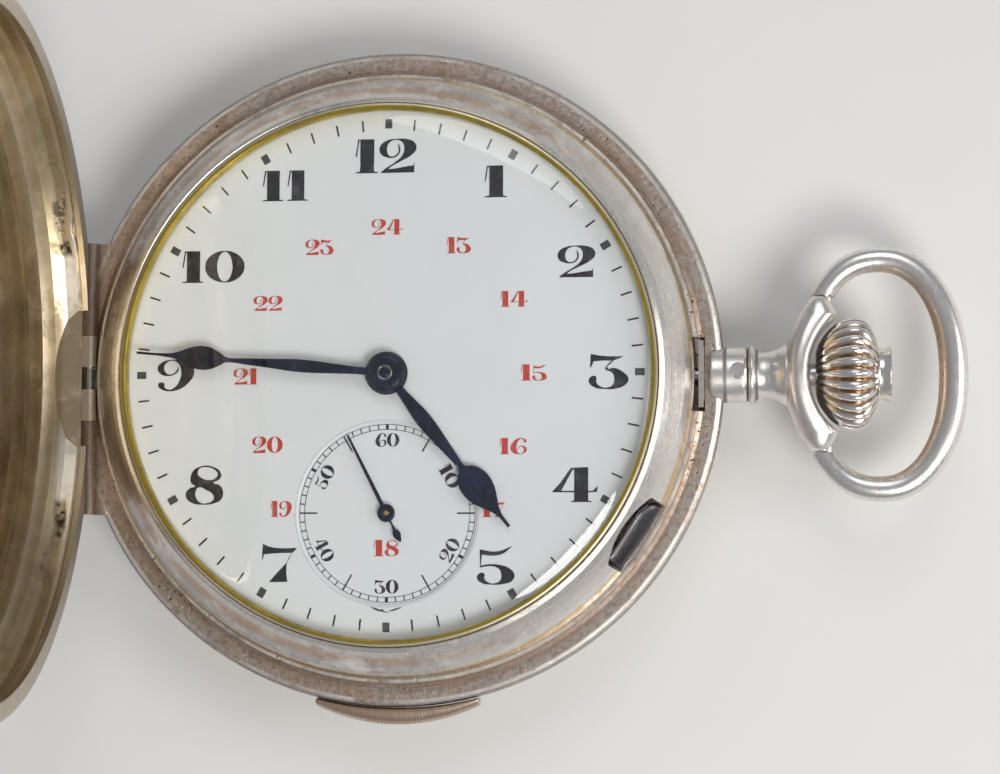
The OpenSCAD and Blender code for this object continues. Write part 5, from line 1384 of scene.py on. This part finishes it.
# each loop rises towards the dial, with the slope of the bezel
loops = [
    (0.0, 8.27, 0.0), (0.0, 8.5, 0.8), (0.04, 8.62, 0.8), (0.12, 8.76, 0.8), (0.24, 8.88, 0.8),
    (0.4, 8.98, 0.78), (0.56, 9.04, 0.76), (0.72, 9.08, 0.74),
]
leverShape = bmesh.new()
rings = []
for shrink, height, slope in loops:
    knots = [(x * mm, y * mm, (height + slope * (lever["outer"] - x)) * mm) for x, y in leverLoop(shrink)]
    rings.append([leverShape.verts.new(knot) for knot in knots])
for low, high in zip(rings, rings[1:]):
    for k in range(len(low)):
        n = (k + 1) % len(low)
        leverShape.faces.new((low[k], low[n], high[n], high[k]))
leverShape.faces.new(list(reversed(rings[0])))
leverShape.faces.new(rings[-1])
leverMesh = bpy.data.meshes.new("polishedLever")
leverShape.to_mesh(leverMesh)
leverShape.free()
leverPiece = addObject("polishedLever", leverMesh)
leverPiece.rotation_euler = (0, 0, math.radians(lever["angle"]))
settle(leverPiece, "polishedLever", 45)
tidyMesh(leverPiece)
dress(leverPiece, leverSteel)

# smooth skins over the turned outsides of the two covers
covers = {
    "front": [
        (26.35, 10.9), (25.5, 11.95), (24.2, 12.85), (22.4, 13.6), (20, 14.2), (15.5, 14.95), (8.5, 15.55),
        (0, 15.75), (-8.5, 15.55),
    ],
    "back": [
        (26.55, 4.15), (25.9, 3.4), (24.6, 2.55), (22.6, 1.7), (20, 0.98), (17, 0.44), (14.0, 0.12),
        (11.0, 0.0), (0, 0),
    ],
    "thick": 0.06,
}


def smoothSkin(name, points, thick):
    # a curve through the drawn points, each stretch in eight steps
    line = []
    for k in range(1, len(points) - 2):
        first, start, end, last = (Vector(point) for point in points[k - 1:k + 3])
        bend, twist = 2 * first - 5 * start + 4 * end - last, 3 * start - first - 3 * end + last
        for t in (step / 8 for step in range(8)):
            line.append(0.5 * (2 * start + (end - first) * t + bend * t ** 2 + twist * t ** 3))
    line.append(Vector(points[-2]))
    top = max(point[1] for point in points) - 0.001
    line = [(max(0.0, place.x), min(max(0.0, place.y), top)) for place in line]
    inside = [(max(0.0, radius - 0.02), height - thick) for radius, height in reversed(line)]
    return turnPiece(name, line + inside + line[:1], 192)


frontSkin = smoothSkin("frontDome", covers["front"], covers["thick"])
opening = Matrix.Rotation(-math.radians(frontHinge["open"]), 4, "Y")
frontSkin.data.transform(Matrix.Translation(hingeLine) @ opening @ Matrix.Translation(-hingeLine))
backSkin = smoothSkin("backDome", covers["back"], -covers["thick"])
fit(frontSkin, coverGilt, "front_cover")
fit(backSkin, backSilver, "back_cover")

for piece, body, node, slot in (
        (crownPiece, "crown", "crown", "crown_silver"), (button, "crown", "crown_cap", "crown_silver"),
        (bowPiece, "bow", "bow", "bright_silver"), (pendantPiece, "case", "pendant", "bright_silver"),
        (slidePiece, "slide", "repeater_slide", "worn_silver"), (glassPiece, "case", "crystal", "glass"),
        (ringPiece, "case", "glass_rim", "gilt"), (leverPiece, "lever", "setting_lever", "dark_steel")):
    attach(piece, body)
    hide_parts(node)
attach(neckPin, "case")
print("every new piece rides on its body")
